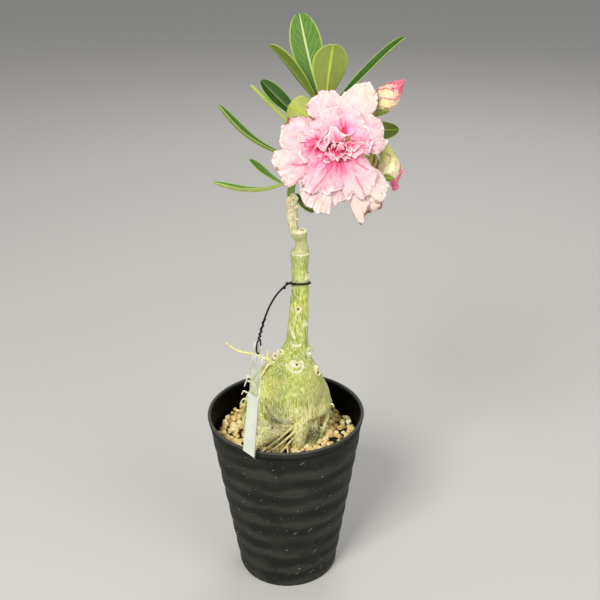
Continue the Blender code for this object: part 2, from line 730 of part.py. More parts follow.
def calyx(name):
    """A green cup round a flower's base, clear of it, whose edge rises in five pointed sepals."""
    base, axis = flower_base(name)
    tip = np.array(TUBE[2][:3] if name == "bloom" else BUDS[name][1], float)
    base, length = base * MM, np.linalg.norm(tip - base) * MM
    side = square_to((1, 0, 0) if name == "bloom" else (0, 1, 0), axis)
    other = np.cross(axis, side)
    sides = 2 * SEPAL_COUNT
    turn = np.arange(sides) * 2 * np.pi / sides
    share = SEPAL_LENGTH * np.where(np.arange(sides) % 2, 0.35, 1)
    widen = 1 / math.cos(math.pi / sides)

    def inner(place):
        return (flower_radius(name, place) + CALYX_GAP) * widen * np.ones(sides)

    rows = (
        (-CALYX_DEPTH, PEDICEL_END * MM),
        (-1.5 * MM, inner(0) + 0.8 * SEPAL_THICKNESS),
        (0.5 * share * length, inner(0.5 * share) + SEPAL_THICKNESS),
        (share * length, inner(share) + 0.6 * SEPAL_THICKNESS),
        (share * length, inner(share)),
        (0.5 * share * length, inner(0.5 * share)),
        (-CLEARANCE, inner(0)),
    )
    rings = [base + np.outer(level * np.ones(sides), axis)
             + np.outer(reach * np.cos(turn), side) + np.outer(reach * np.sin(turn), other)
             for level, reach in rows]
    return lofted("calyx_" + name, np.array(rings))


def build_stalks():
    """Peduncle, pedicels and the sepals' cups, all green and grown together."""
    pieces = [limb("peduncle", PEDUNCLE, 8, PEDICEL_STEPS)]
    sunk = 0.5 * CALYX_DEPTH / MM
    for name, rows in PEDICELS.items():
        base, axis = flower_base(name)
        near = (*(base - (sunk + PEDICEL_STRAIGHT) * axis), rows[-1][3])
        end = (*(base - sunk * axis), 0.8 * PEDICEL_END)
        line = np.vstack([smooth_rows((*rows, near), PEDICEL_STEPS), end]) * MM
        pieces.append(tube("pedicel_" + name, line, PEDICEL_SIDES))
        pieces.append(calyx(name))
    return fused("flower_stalks", pieces)


# Tie wire and tag

def tag_point(along, across, off=0.0):
    """A point of the tag: along from its top to its foot, across from its left to its right."""
    top = np.array(TAG_TOP) * MM
    foot = np.array(TAG_FOOT) * MM
    left = top[0] + along * (foot[0] - top[0])
    right = top[1] + along * (foot[1] - top[1])
    front = unit(np.cross(foot.mean(0) - top.mean(0), right - left))
    return left + across * (right - left) + off * front


def tag_grid(start, off):
    """Grid of points on the tag from a place along it down to its foot."""
    return np.array([[tag_point(along, across, off) for across in (0, 0.5, 1)]
                     for along in np.linspace(start, 1, TAG_ROWS)])


def build_tag_film(cutters):
    """The clear strip, with a punched hole for the wire."""
    film = blade("tag_film", tag_grid(0, 0), TAG_THICKNESS)
    front = unit(tag_point(TAG_HOLE, 0.5, 1) - tag_point(TAG_HOLE, 0.5))
    across = unit(tag_point(TAG_HOLE, 1) - tag_point(TAG_HOLE, 0))
    up = np.cross(front, across)
    turn = np.arange(10)[:, None] * 2 * np.pi / 10
    ring = tag_point(TAG_HOLE, 0.5) + TAG_HOLE_RADIUS * (np.cos(turn) * across + np.sin(turn) * up)
    cut(film, lofted("tag_hole_cutter", np.array([ring - 3 * MM * front, ring + 3 * MM * front])), cutters)
    return film


def build_tag_slip():
    """The blank white slip on the strip's front."""
    return blade("tag_slip", tag_grid(SLIP_FROM, TAG_THICKNESS + CLEARANCE), TAG_THICKNESS)


def wire_line(steps):
    """Middle of the wire's tail, from the stem's ring to the loop above the tag."""
    up = unit(tag_point(0, 0.5) - tag_point(1, 0.5))
    end = (tag_point(0, 0.5) + LOOP_ABOVE_TAG * up) / MM
    return smooth_rows((*WIRE_TAIL, tuple(end)), steps) * MM


def wire_loop():
    """Rows of the loop that passes through the tag's hole and closes on the tail's end."""
    hole, end = tag_point(TAG_HOLE, 0.5), wire_line(2)[-1]
    front = unit(tag_point(TAG_HOLE, 0.5, 1) - hole)
    middle, half = (hole + end) / 2, (end - hole) / 2
    rows = []
    for turn in np.linspace(0.5 * np.pi + 0.15, 2.5 * np.pi - 0.15, 15):
        rows.append((*(middle + math.sin(turn) * half + LOOP_DEPTH * math.cos(turn) * front),
                     STRAND_RADIUS))
    return rows


def build_wire():
    """Coated wire: ring round the stem, knot, twisted tail and a loop through the tag's hole."""
    bpy.ops.mesh.primitive_torus_add(
        location=RING_MIDDLE, major_radius=RING_RADIUS, minor_radius=WIRE_RADIUS,
        major_segments=20, minor_segments=WIRE_SIDES)
    ring = bpy.context.object
    ring.name = "wire_ring"
    tail = np.hstack([wire_line(WIRE_STEPS), np.full((WIRE_STEPS, 1), WIRE_RADIUS)])
    pieces = [baked(ring), tube("wire_tail", tail, WIRE_SIDES), tube("wire_loop", wire_loop(), WIRE_SIDES)]
    for number, place in enumerate(KNOT_BEADS):
        pieces.append(ball(f"wire_knot_{number}", np.array(place) * MM, KNOT_RADIUS))
    twisted = wire_line(2 * WIRE_STEPS)[int(2 * WIRE_STEPS * TWIST_FROM):]
    turn = 2 * np.pi * TWIST_TURNS * np.linspace(0, 1, len(twisted))[:, None]
    away = 1.1 * WIRE_RADIUS * (np.cos(turn) * np.array((1, 0, 0)) + np.sin(turn) * np.array((0, 1, 0)))
    strand = np.hstack([twisted + away, np.full((len(twisted), 1), STRAND_RADIUS)])
    pieces.append(tube("wire_strand", strand, 4))
    return fused("tie_wire", pieces)


def main():
    clear_scene()
    parts = new_collection("potted_desert_rose")
    cutters = new_collection("cutters", helper=True)
    black_plastic = material("black_plastic", (0.018, 0.018, 0.019), 0.55)
    grit = material("tan_gravel", (0.62, 0.47, 0.27), 0.85)
    bark = material("green_bark", (0.36, 0.39, 0.14), 0.6)
    leaf = material("leaf_green", (0.10, 0.22, 0.05), 0.4)
    stalk = material("stalk_green", (0.22, 0.34, 0.09), 0.5)
    petal = material("petal_pink", (0.90, 0.55, 0.60), 0.6)
    bud = material("bud_cream", (0.85, 0.62, 0.45), 0.55)
    coated_wire = material("black_coated_wire", (0.01, 0.01, 0.01), 0.4)
    clear_film = material("clear_film", (0.85, 0.87, 0.83), 0.15, 0.35)
    white_slip = material("white_slip", (0.85, 0.88, 0.84), 0.5)
    finish(build_pot(cutters), parts, black_plastic)
    finish(build_gravel(cutters), parts, grit, smooth=False)
    finish(build_trunk(), parts, bark)
    finish(build_shoot(), parts, leaf)
    finish(build_stalks(), parts, stalk)
    finish(build_bloom(), parts, petal, smooth=False)
    for name, (base, tip, radius, turns) in BUDS.items():
        finish(lofted(name, bud_rings(base, tip, radius, turns)), parts, bud)
    finish(build_wire(), parts, coated_wire)
    finish(build_tag_film(cutters), parts, clear_film)
    finish(build_tag_slip(), parts, white_slip)


main()
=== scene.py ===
import math

import bmesh
import bpy
import numpy as np
from mathutils import Matrix


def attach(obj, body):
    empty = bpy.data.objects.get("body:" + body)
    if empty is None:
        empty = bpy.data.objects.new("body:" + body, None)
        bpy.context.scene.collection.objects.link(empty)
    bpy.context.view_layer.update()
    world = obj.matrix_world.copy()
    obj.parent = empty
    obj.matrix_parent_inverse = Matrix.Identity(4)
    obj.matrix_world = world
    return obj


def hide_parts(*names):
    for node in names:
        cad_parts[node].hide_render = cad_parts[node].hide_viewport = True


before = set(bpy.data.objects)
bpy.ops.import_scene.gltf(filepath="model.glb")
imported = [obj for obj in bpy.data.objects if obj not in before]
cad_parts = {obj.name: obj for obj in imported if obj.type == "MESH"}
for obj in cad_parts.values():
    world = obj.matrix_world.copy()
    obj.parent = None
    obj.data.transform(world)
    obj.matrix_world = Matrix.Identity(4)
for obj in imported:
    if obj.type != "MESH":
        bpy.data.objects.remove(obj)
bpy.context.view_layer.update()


# Stage: a plain pale floor, soft studio light from the upper left, and the camera where the
# photograph was taken, a little above the bloom and tipped down to the pot.

CAMERA_PLACE = (0.0, -0.634, 0.5274)
CAMERA_RIGHT = (0.9997, -0.0225, -0.0086)
CAMERA_UP = (0.0173, 0.4214, 0.9065)
CAMERA_BACK = (-0.0167, -0.9066, 0.4216)
CAMERA_LENS = 57.6
CAMERA_SENSOR = 36
FLOOR_REACH = 9.0
# Each lamp: its place, the point it is turned to, its size, its power in watts and its colour
LAMPS = {
    "key_softbox": ((-0.58, -1.1, 1.33), (0, 0, 0.22), 0.6, 23.5, (1.0, 0.97, 0.9)),
    "fill_softbox": ((1.1, -1.0, 0.9), (0, 0, 0.25), 1.2, 9, (1.0, 0.98, 0.93)),
    "back_softbox": ((0.3, 1.2, 1.4), (0, 0, 0.3), 1.0, 8, (1.0, 0.98, 0.94)),
}
ROOM_LIGHT = 0.32


def seen(red, green, blue):
    """A colour given as a screen shows it, 0 to 255, as the linear value that a shader takes."""
    share = np.array((red, green, blue)) / 255
    linear = np.where(share <= 0.04045, share / 12.92, ((share + 0.055) / 1.055) ** 2.4)
    return (*linear, 1.0)


def new_finish(name, constants):
    """A Principled material with constants set straight on the shader's sockets."""
    made = bpy.data.materials.new(name)
    made.use_nodes = True
    for socket, value in constants.items():
        made.node_tree.nodes["Principled BSDF"].inputs[socket].default_value = value
    return made


def unit(vectors):
    """The vector, or each vector of an array, at length one."""
    vectors = np.array(vectors, float)
    return vectors / np.linalg.norm(vectors, axis=-1, keepdims=True)


def stand_at(place, right, up, back):
    """The matrix of an object at a place, with its own x, y and z along three directions."""
    matrix = np.eye(4)
    matrix[:3, :4] = np.stack([right, up, back, place], axis=1)
    return Matrix(matrix)


def soft_light(name, place, target, size, power, colour):
    """A square lamp as a studio softbox, level and turned from its place to a target."""
    lamp = bpy.data.lights.new(name, "AREA")
    lamp.size = size
    lamp.energy = power
    lamp.color = colour
    obj = bpy.data.objects.new(name, lamp)
    bpy.context.scene.collection.objects.link(obj)
    back = unit(np.subtract(place, target))
    right = unit(np.cross((0, 0, 1), back))
    obj.matrix_world = stand_at(place, right, np.cross(back, right), back)


floor_mesh = bpy.data.meshes.new("floor")
floor_corners = [(FLOOR_REACH * x, FLOOR_REACH * y, 0) for x, y in ((-1, -1), (1, -1), (1, 1), (-1, 1))]
floor_mesh.from_pydata(floor_corners, [], [(0, 1, 2, 3)])
pale_floor = new_finish("pale_floor", {"Base Color": seen(205, 204, 202), "Roughness": 0.9})
floor_mesh.materials.append(pale_floor)
floor = bpy.data.objects.new("floor", floor_mesh)
bpy.context.scene.collection.objects.link(floor)

for name, settings in LAMPS.items():
    soft_light(name, *settings)
room = bpy.data.worlds.new("studio")
room.use_nodes = True
room.node_tree.nodes["Background"].inputs["Color"].default_value = (1.0, 1.0, 1.0, 1.0)
room.node_tree.nodes["Background"].inputs["Strength"].default_value = ROOM_LIGHT
bpy.context.scene.world = room

camera = bpy.data.objects.new("camera", bpy.data.cameras.new("camera"))
camera.data.lens = CAMERA_LENS
camera.data.sensor_width = CAMERA_SENSOR
bpy.context.scene.collection.objects.link(camera)
camera.matrix_world = stand_at(CAMERA_PLACE, CAMERA_RIGHT, CAMERA_UP, CAMERA_BACK)
bpy.context.scene.camera = camera
bpy.context.scene.view_settings.view_transform = "Standard"


# Pot: a thin, tapered nursery pot, injection moulded in matte black plastic. Soft ribs run round
# it, the lip is rolled, and the foot is recessed round a raised pad with six drain holes.

MM = 0.001
POT_RIM_RADIUS = 60 * MM
POT_FOOT_RADIUS = 38.9 * MM
POT_HEIGHT = 139.5 * MM
POT_WALL = 1.8 * MM
POT_FLOOR = 2.5 * MM
POT_SEGMENTS = 192
LIP_STEPS = 10
LIP_HALF_WIDTH = 1.2 * MM
LIP_HALF_HEIGHT = 0.96 * MM
LIP_BACK = 3.2 * MM
LIP_BAND = 1.3 * MM
LIP_BLEND = 0.6 * MM
# How strong the painted highlight on the lip is.
LIP_HIGHLIGHT = 0.7
RIB_PITCH = 16.2 * MM
RIB_FIRST_GROOVE = 11 * MM
RIB_COUNT = 8
RIB_DEPTH = 0.55 * MM
RIB_REACH = 0.5 * RIB_PITCH
RIB_FROM = 3 * MM
RIB_STEPS = 150
COLLAR_FOOT = POT_HEIGHT - 5 * MM
COLLAR_STEP = 0.8 * MM
COLLAR_RISE = 0.7 * MM
COLLAR_FADE = 8 * MM
# Painted shadow under the lip's collar: how far below the collar's foot it lies, how far it spreads, and
# how dark it is.
SHADE_DROP = 0.6 * MM
SHADE_REACH = 1.1 * MM
SHADE_DEPTH = 0.8
WALL_DEPTH = 1.5 * MM
WALL_BLEND = 0.2 * MM
FOOT_RECESS = 1.2 * MM
FOOT_RING = 7 * MM
FOOT_PAD_RADIUS = 13 * MM
FOOT_CHAMFER = 0.2 * MM
FOOT_EDGE = ((POT_FOOT_RADIUS - 1.2 * MM, 0), (POT_FOOT_RADIUS - 0.4 * MM, 0.4 * MM),
             (POT_FOOT_RADIUS, 1.5 * MM))
FLOOR_CHAMFER = 1 * MM
DRAIN_COUNT = 6
DRAIN_RADIUS = 3.5 * MM
DRAIN_CIRCLE = 22 * MM
DRAIN_TURN = 0.3
DRAIN_ZONE = (15.5 * MM, 28.5 * MM)
DRAIN_STEPS = 5
PATCH_RINGS = 4
# Each kind of mark on the plastic: the size of its cells, how far they are drawn out and turned, how
# much of a cell a mark fills, and its colour
POT_MARKS = (
    (17 * MM, (1, 1, 0.7), (0.2, 0.3, 0), 0.045, (186, 188, 182)),
    (17 * MM, (0.25, 0.25, 2.6), (0, 1.0, 0.2), 0.09, (140, 142, 136)),
    (16 * MM, (0.25, 0.25, 2), (0.5, 1.3, -0.6), 0.085, (150, 152, 144)),
    (17 * MM, (0.4, 0.4, 1.2), (0, -1.2, 0.9), 0.05, (110, 112, 106)),
)


def add(finish, kind, inputs=(), **settings):
    """A node in a material. Inputs maps its sockets to values, or to the sockets that feed them."""
    node = finish.node_tree.nodes.new(kind)
    for setting, value in settings.items():
        setattr(node, setting, value)
    for socket, value in dict(inputs).items():
        if isinstance(value, bpy.types.NodeSocket):
            finish.node_tree.links.new(value, node.inputs[socket])
        else:
            node.inputs[socket].default_value = value
    return node


def feed(finish, socket, value):
    """Wire a socket of the shader."""
    finish.node_tree.links.new(value, finish.node_tree.nodes["Principled BSDF"].inputs[socket])


def place_on(finish):
    """Places on the object, in metres."""
    return add(finish, "ShaderNodeTexCoord").outputs["Object"]


def share_of_height(finish, top):
    """Height on the object, as a share of a height in metres."""
    height = add(finish, "ShaderNodeSeparateXYZ", {0: place_on(finish)}).outputs[2]
    return product(finish, height, 1 / top)


def noise(finish, size, stretch=(1, 1, 1), detail=3, distortion=0):
    """Blotches of about this size in metres, stretched along each axis, fixed to the object."""
    shares = [1 / share for share in stretch]
    scaled = add(finish, "ShaderNodeMapping", {"Vector": place_on(finish), "Scale": shares}).outputs[0]
    return add(finish, "ShaderNodeTexNoise", {"Vector": scaled, "Scale": 1 / size, "Detail": detail,
                                              "Distortion": distortion}).outputs[0]


def ramp(finish, factor, stops):
    """Colours or greys laid out along a factor from 0 to 1."""
    node = add(finish, "ShaderNodeValToRGB", {"Fac": factor})
    bands = node.color_ramp.elements
    while len(bands) < len(stops):
        bands.new(1.0)
    for band, (place, colour) in zip(bands, stops):
        band.position = place
        band.color = colour if isinstance(colour, tuple) else (colour, colour, colour, 1.0)
    return node.outputs["Color"]


def mottled(finish, size, stops, stretch=(1, 1, 1), detail=3):
    """Blotches of about this size, laid out in colours or greys."""
    return ramp(finish, noise(finish, size, stretch, detail), stops)


def mix(finish, factor, first, second, blend="MIX"):
    """The first colour, with the second over it by a factor."""
    node = add(finish, "ShaderNodeMix", {0: factor, 6: first, 7: second},
               data_type="RGBA", blend_type=blend)
    return node.outputs[2]


def lay_over(finish, colour, layers):
    """A colour with others laid over it in turn, each by its own factor."""
    for factor, over in layers:
        colour = mix(finish, factor, colour, over)
    return colour


def sum_of(finish, first, second, operation="ADD"):
    """Two numbers put together by an arithmetic operation, or the first one changed by it."""
    return add(finish, "ShaderNodeMath", {0: first, 1: second}, operation=operation).outputs[0]


def product(finish, first, second):
    """Two numbers multiplied."""
    return sum_of(finish, first, second, "MULTIPLY")


def swing(finish, factor, reach):
    """A factor between 0 and 1, as a swing to both sides of nothing by half this reach."""
    return product(finish, sum_of(finish, factor, 0.5, "SUBTRACT"), reach)


def bump(finish, height, depth):
    """Fine relief of this depth in metres."""
    feed(finish, "Normal", add(finish, "ShaderNodeBump", {"Height": height, "Distance": depth}).outputs[0])


def quads_of(rows, columns, wrap=False, start=0):
    """Corners of the quads of a grid of points, whose last column joins the first if it wraps."""
    row, column = np.meshgrid(np.arange(rows - 1), np.arange(columns if wrap else columns - 1),
                              indexing="ij")
    here = start + row * columns + column
    beside = start + row * columns + (column + 1) % columns
    return np.stack([here, beside, beside + columns, here + columns], axis=-1).reshape(-1, 4)


def joined_grids(grids, wrap=False):
    """One array of points and one of quads for several grids."""
    points, quads, start = [], [], 0
    for grid in grids:
        rows, columns = grid.shape[:2]
        points.append(grid.reshape(-1, 3))
        quads.append(quads_of(rows, columns, wrap, start))
        start += rows * columns
    return np.concatenate(points), np.concatenate(quads)


def piece(name, points, faces, finish, weld=False):
    """An object in the scene from points and faces, welded where points meet if asked."""
    mesh = bpy.data.meshes.new(name)
    mesh.from_pydata(points, [], faces.tolist() if isinstance(faces, np.ndarray) else faces)
    if weld:
        shape = bmesh.new()
        shape.from_mesh(mesh)
        bmesh.ops.remove_doubles(shape, verts=shape.verts, dist=1e-6)
        shape.to_mesh(mesh)
        shape.free()
    mesh.shade_smooth()
    mesh.materials.append(finish)
    obj = bpy.data.objects.new(name, mesh)
    bpy.context.scene.collection.objects.link(obj)
    return obj


def fit(obj, node):
    """Let a piece ride on the plant's one body and stand for a CAD node, whose part it hides."""
    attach(obj, "root")
    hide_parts(node)


def crease_by_angle(obj, degrees):
    """Keep smooth shading but for edges sharper than an angle."""
    obj.data.set_sharp_from_angle(angle=math.radians(degrees))


def read_points(mesh, what="co"):
    """Places or normals of all vertices of a mesh."""
    source = mesh.vertices if what == "co" else mesh.vertex_normals
    values = np.empty(len(mesh.vertices) * 3)
    source.foreach_get("co" if what == "co" else "vector", values)
    return values.reshape(-1, 3)


def write_value(mesh, name, values):
    """Keep a number for each vertex under a name that a material reads."""
    attribute = mesh.attributes.new(name, "FLOAT", "POINT")
    attribute.data.foreach_set("value", np.ascontiguousarray(values, np.float32))


def write_parts(mesh, values):
    """Keep numbers under several names, each given as one array for every part of the mesh."""
    for name, parts in values.items():
        write_value(mesh, name, np.concatenate([part.ravel() for part in parts]))


def value_of(finish, name):
    """The number that a vertex keeps under a name."""
    return add(finish, "ShaderNodeAttribute", attribute_name=name).outputs["Fac"]


def pot_outer(height):
    """The pot's outer radius at a height, without its ribs: a straight taper."""
    return POT_FOOT_RADIUS + (POT_RIM_RADIUS - POT_FOOT_RADIUS) * height / POT_HEIGHT


def pot_inner(height):
    """The pot's inner radius at a height."""
    return pot_outer(height) - POT_WALL - RIB_DEPTH / 2


def rib_relief(height):
    """How far the wall draws in at a height: a cosine hollow at each groove, and a small step
    under the rim's collar that fades out below it."""
    nearest = np.clip(np.round((height - RIB_FIRST_GROOVE) / RIB_PITCH), 0, RIB_COUNT - 1)
    off = np.abs(height - RIB_FIRST_GROOVE - nearest * RIB_PITCH) / RIB_REACH
    below = COLLAR_FOOT - height
    step = COLLAR_STEP * np.clip(below / COLLAR_RISE, 0, 1) * np.clip(1 - below / COLLAR_FADE, 0, 1)
    return RIB_DEPTH * np.where(off < 1, 0.5 + 0.5 * np.cos(np.pi * off), 0) + step


def whole_turn(steps):
    """Even steps once round, in radians."""
    return np.arange(steps) * 2 * np.pi / steps


def turned(profile, segments):
    """Each (radius, height) point of a profile carried round the z axis."""
    turn = whole_turn(segments)
    radius, height = np.array(profile, float).T[:, :, None]
    return np.stack([radius * np.cos(turn), radius * np.sin(turn), height + 0 * turn], axis=-1)


def ring_patch(centre, radius, outline):
    """Rings from a round hole out to an outline: each ring blends the circle into the outline."""
    hole = centre + radius * unit(outline - centre)
    share = np.linspace(0, 1, PATCH_RINGS)[:, None, None]
    return (1 - share) * hole + share * outline


def drain_sector(number, level):
    """A sixth of the floor at a level, as rings round its drain hole."""
    each = POT_SEGMENTS // DRAIN_COUNT
    middle = 2 * np.pi * (number + DRAIN_TURN) / DRAIN_COUNT
    turn = middle + (np.arange(each + 1) / each - 0.5) * 2 * np.pi / DRAIN_COUNT
    across = np.linspace(*DRAIN_ZONE, DRAIN_STEPS + 2)[1:-1]
    reach = np.concatenate([np.full(each + 1, DRAIN_ZONE[1]), across[::-1],
                            np.full(each + 1, DRAIN_ZONE[0]), across])
    angle = np.concatenate([turn, np.full(DRAIN_STEPS, turn[-1]),
                            turn[::-1], np.full(DRAIN_STEPS, turn[0])])
    outline = np.stack([reach * np.cos(angle), reach * np.sin(angle), level + 0 * reach], axis=-1)
    centre = np.array((DRAIN_CIRCLE * math.cos(middle), DRAIN_CIRCLE * math.sin(middle), level))
    return ring_patch(centre, DRAIN_RADIUS, outline)


def pot_marks(size, stretch, turn, reach):
    """Marks on the plastic: the middles of cells of this size, drawn out along a turned axis."""
    laid = add(black_plastic, "ShaderNodeMapping", {
        "Vector": place_on(black_plastic), "Rotation": turn, "Scale": stretch}, vector_type="TEXTURE")
    cells = add(black_plastic, "ShaderNodeTexVoronoi", {"Vector": laid.outputs[0], "Scale": 1 / size})
    return ramp(black_plastic, cells.outputs["Distance"], [(0.0, 1.0), (0.6 * reach, 0.8), (reach, 0.0)])


black_plastic = new_finish("black_pot_plastic", {"Specular IOR Level": 0.05})
scuffs = noise(black_plastic, 3 * MM, (1, 1, 0.35), 6)
dust = noise(black_plastic, 20 * MM, (1, 1, 0.5), 4)
# Painted rib shade: the colour is lighter on the rib crests and darker in the grooves, as light falls on
# them, and large dust blotches vary it.
painted_rib_shade = sum_of(black_plastic, value_of(black_plastic, "painted_rib_shade"), swing(black_plastic, dust, 3))
pot_colour = ramp(black_plastic, painted_rib_shade, [
    (0.0, seen(36, 37, 34)), (0.5, seen(45, 46, 42)), (1.0, seen(58, 59, 54))])
feed(black_plastic, "Base Color", lay_over(black_plastic, pot_colour, [
    (ramp(black_plastic, scuffs, [(0.58, 0.0), (0.75, 0.3)]), seen(70, 72, 66)),
    *((pot_marks(*mark), seen(*shade)) for *mark, shade in POT_MARKS),
    # Painted highlight on the top of the rolled lip.
    (value_of(black_plastic, "painted_lip_highlight"), seen(84, 86, 82)),
    # Painted shadow on the wall just under the lip's collar.
    (value_of(black_plastic, "painted_shadow_under_lip"), seen(12, 12, 11)),
    # Painted shade inside the pot: everything but the outer wall and the lip is painted near black.
    (value_of(black_plastic, "inside"), seen(2, 2, 2))]))
feed(black_plastic, "Roughness", ramp(black_plastic, scuffs, [(0.3, 0.45), (0.7, 0.62)]))
bump(black_plastic, scuffs, 0.12 * MM)

rib_heights = np.linspace(RIB_FROM, COLLAR_FOOT, RIB_STEPS)
lip_turn = np.linspace(-0.5, 1.0, LIP_STEPS) * np.pi
lip_profile = np.stack([POT_RIM_RADIUS + LIP_HALF_WIDTH * (np.cos(lip_turn) - 1),
                        POT_HEIGHT + LIP_HALF_HEIGHT * (np.sin(lip_turn) - 1)], axis=-1)
pot_profile = np.vstack([
    (DRAIN_ZONE[1], FOOT_RECESS),
    (POT_FOOT_RADIUS - FOOT_RING - FOOT_RECESS, FOOT_RECESS),
    (POT_FOOT_RADIUS - FOOT_RING - FOOT_CHAMFER, FOOT_CHAMFER),
    (POT_FOOT_RADIUS - FOOT_RING + FOOT_CHAMFER, 0),
    *FOOT_EDGE,
    np.stack([pot_outer(rib_heights) - rib_relief(rib_heights), rib_heights], axis=-1),
    lip_profile,
    (pot_inner(POT_HEIGHT - LIP_BACK), POT_HEIGHT - LIP_BACK),
    (pot_inner(POT_FLOOR + FLOOR_CHAMFER), POT_FLOOR + FLOOR_CHAMFER),
    (pot_inner(POT_FLOOR) - FLOOR_CHAMFER, POT_FLOOR),
    (DRAIN_ZONE[1], POT_FLOOR),
])
pad_profile = [(0, 0), (FOOT_PAD_RADIUS - FOOT_CHAMFER, 0), (FOOT_PAD_RADIUS + FOOT_RECESS, FOOT_RECESS),
               (DRAIN_ZONE[0], FOOT_RECESS)]
inner_floor_profile = [(DRAIN_ZONE[0], POT_FLOOR), (0, POT_FLOOR)]
sector_turn = 2 * np.pi * (DRAIN_TURN - 0.5) / DRAIN_COUNT
line_up = np.array([[math.cos(sector_turn), math.sin(sector_turn), 0],
                    [-math.sin(sector_turn), math.cos(sector_turn), 0], [0, 0, 1]])
turned_grids = [turned(profile, POT_SEGMENTS) @ line_up
                for profile in (pot_profile, pad_profile, inner_floor_profile)]
for drain in range(DRAIN_COUNT):
    above, below = drain_sector(drain, POT_FLOOR), drain_sector(drain, FOOT_RECESS)
    turned_grids += [above[:, ::-1][::-1], below[:, ::-1], np.stack([above[0], below[0]])[:, ::-1]]
pot_points, pot_faces = joined_grids(turned_grids, wrap=True)
pot = piece("pot_shell", pot_points, pot_faces, black_plastic, weld=True)
crease_by_angle(pot, 50)
pot_x, pot_y, pot_z = read_points(pot.data).T
on_wall = np.clip((np.hypot(pot_x, pot_y) - pot_outer(pot_z) + WALL_DEPTH) / WALL_BLEND, 0, 1)
near_lip = np.clip((pot_z - POT_HEIGHT + LIP_BAND) / LIP_BLEND, 0, 1)
below_lip = np.exp(-((pot_z - COLLAR_FOOT + SHADE_DROP) / SHADE_REACH) ** 2)
# Painted rib shade: one on the rib crests, falling to nothing at the bottom of each groove.
write_value(pot.data, "painted_rib_shade", 1 - rib_relief(pot_z) / RIB_DEPTH)
write_value(pot.data, "painted_lip_highlight", LIP_HIGHLIGHT * near_lip)
write_value(pot.data, "painted_shadow_under_lip", SHADE_DEPTH * below_lip * on_wall)
# Painted shade: one away from the outer wall and the lip, inside the pot and under its foot.
write_value(pot.data, "inside", (1 - on_wall) * (1 - near_lip))
fit(pot, "pot")


# Trunk: the grown wood of the plant in one piece, a swollen base on thick roots, a slim stem with a
# cut stub, and a twig grafted on it. The skin is green and waxy, under a net of fine cream lines.

# The base and the stem in millimetres: height, left edge, right edge, and depth as a share of width
TRUNK_EDGES = (
    (88, 1, 9, 0.5), (97, -5, 10, 0.5), (112, -11, 12, 0.5), (120, -15, 14, 0.55), (128, -21, 19, 0.66),
    (134, -24.4, 24, 0.73), (139, -26.4, 29, 0.77), (143, -27.2, 34.4, 0.8), (146, -27.2, 35.6, 0.82),
    (153, -27.2, 33.6, 0.85),
    (164, -26.2, 30.2, 0.9), (175, -16.8, 25, 0.96), (185, -8.8, 20, 0.98), (192, -2.8, 18.1, 0.98),
    (199, 0.3, 17.8, 0.98), (215, 2.8, 17.7, 0.98), (231, 4.5, 18.1, 0.98), (247, 5.4, 18.4, 0.98),
    (262, 5.4, 18.4, 0.98), (269, 5.2, 18.6, 0.98), (271, 5.6, 18.4, 0.98), (273, 7.6, 17.6, 0.98),
    (279, 9, 17.2, 0.98), (283, 7, 17.3, 0.98), (287, 4.9, 17.2, 0.98),
)
TRUNK_RINGS = 160
TRUNK_SIDES = 72
STUB_SLANT = 1.2 * MM
CAP_RINGS = 4
BALL_SIDES = 16
# Each root, curl and twig: rows of x, y, z and radius in millimetres
THICK_ROOTS = (
    ((6, -18, 141, 4.6), (-6.5, -21, 134, 4.9), (-19, -20, 126, 5), (-28, -17, 117, 5)),
    ((9, -12, 156, 10), (9.8, -17.6, 143, 8.6), (9.6, -20.4, 132, 6.8), (8.6, -20, 122, 5.4),
     (7, -16, 109, 4.5)),
    ((32.6, -4.6, 146.5, 1.7), (30.6, -8.6, 135, 1.9), (26, -12, 124, 2), (22, -13, 113, 2)),
    ((-14, -6, 150, 13), (-13, -8, 138, 12), (-11, -9, 124, 11)),
    ((-25, -3, 160, 1.8), (-31, -2, 147, 1.7), (-32.4, -1, 133, 1.6), (-31, 0, 112, 1.6)),
    ((-8, 16, 142, 6.5), (-18, 20, 130, 6), (-27, 24, 118, 5), (-35, 27, 107, 4)),
    ((18, 17, 142, 6.5), (26, 20, 130, 6), (34, 23, 119, 5), (41, 25, 108, 4)),
    ((5, 20, 141, 6.5), (3, 27, 130, 5.6), (2, 33, 119, 4.6), (1, 38, 108, 4)),
    ((17, -5, 141, 8.5), (18, -11, 129, 8), (17.4, -13, 112, 7)),
)
FINE_ROOTS = (
    ((-8, -6, 184, 1.3), (-14, -8, 188.6, 1.2), (-21.9, -8.5, 192.8, 1.1), (-27.4, -9, 194.4, 1),
     (-34.6, -9.5, 196.7, 0.9), (-40, -10, 201, 0.75), (-42.3, -10, 203.4, 0.6)),
    ((-11, -7.4, 184, 1.4), (-12.8, -8, 190, 1.1), (-12.8, -8, 195.2, 0.7)),
    ((-11, -7.4, 187, 1.2), (-14.5, -7.8, 180.5, 0.9), (-18, -8, 174.5, 0.8), (-22, -6, 170.5, 0.8)),
    ((5, -25, 140, 1), (-1, -27.4, 135.5, 0.9), (-8, -28.6, 129.5, 0.8), (-15.5, -29, 123.5, 0.7),
     (-20, -28.5, 120.5, 0.6)),
    ((6, -26, 136, 1), (1, -29, 133, 0.9), (-5, -31, 128.5, 0.8), (-11, -32, 124.4, 0.6)),
    ((5, -25, 130, 0.9), (0, -29, 126, 0.8), (-5, -33, 122, 0.7), (-7, -35, 119, 0.5)),
    ((0, -29, 126, 0.7), (1, -33, 123, 0.6), (0, -36, 119, 0.5)),
)
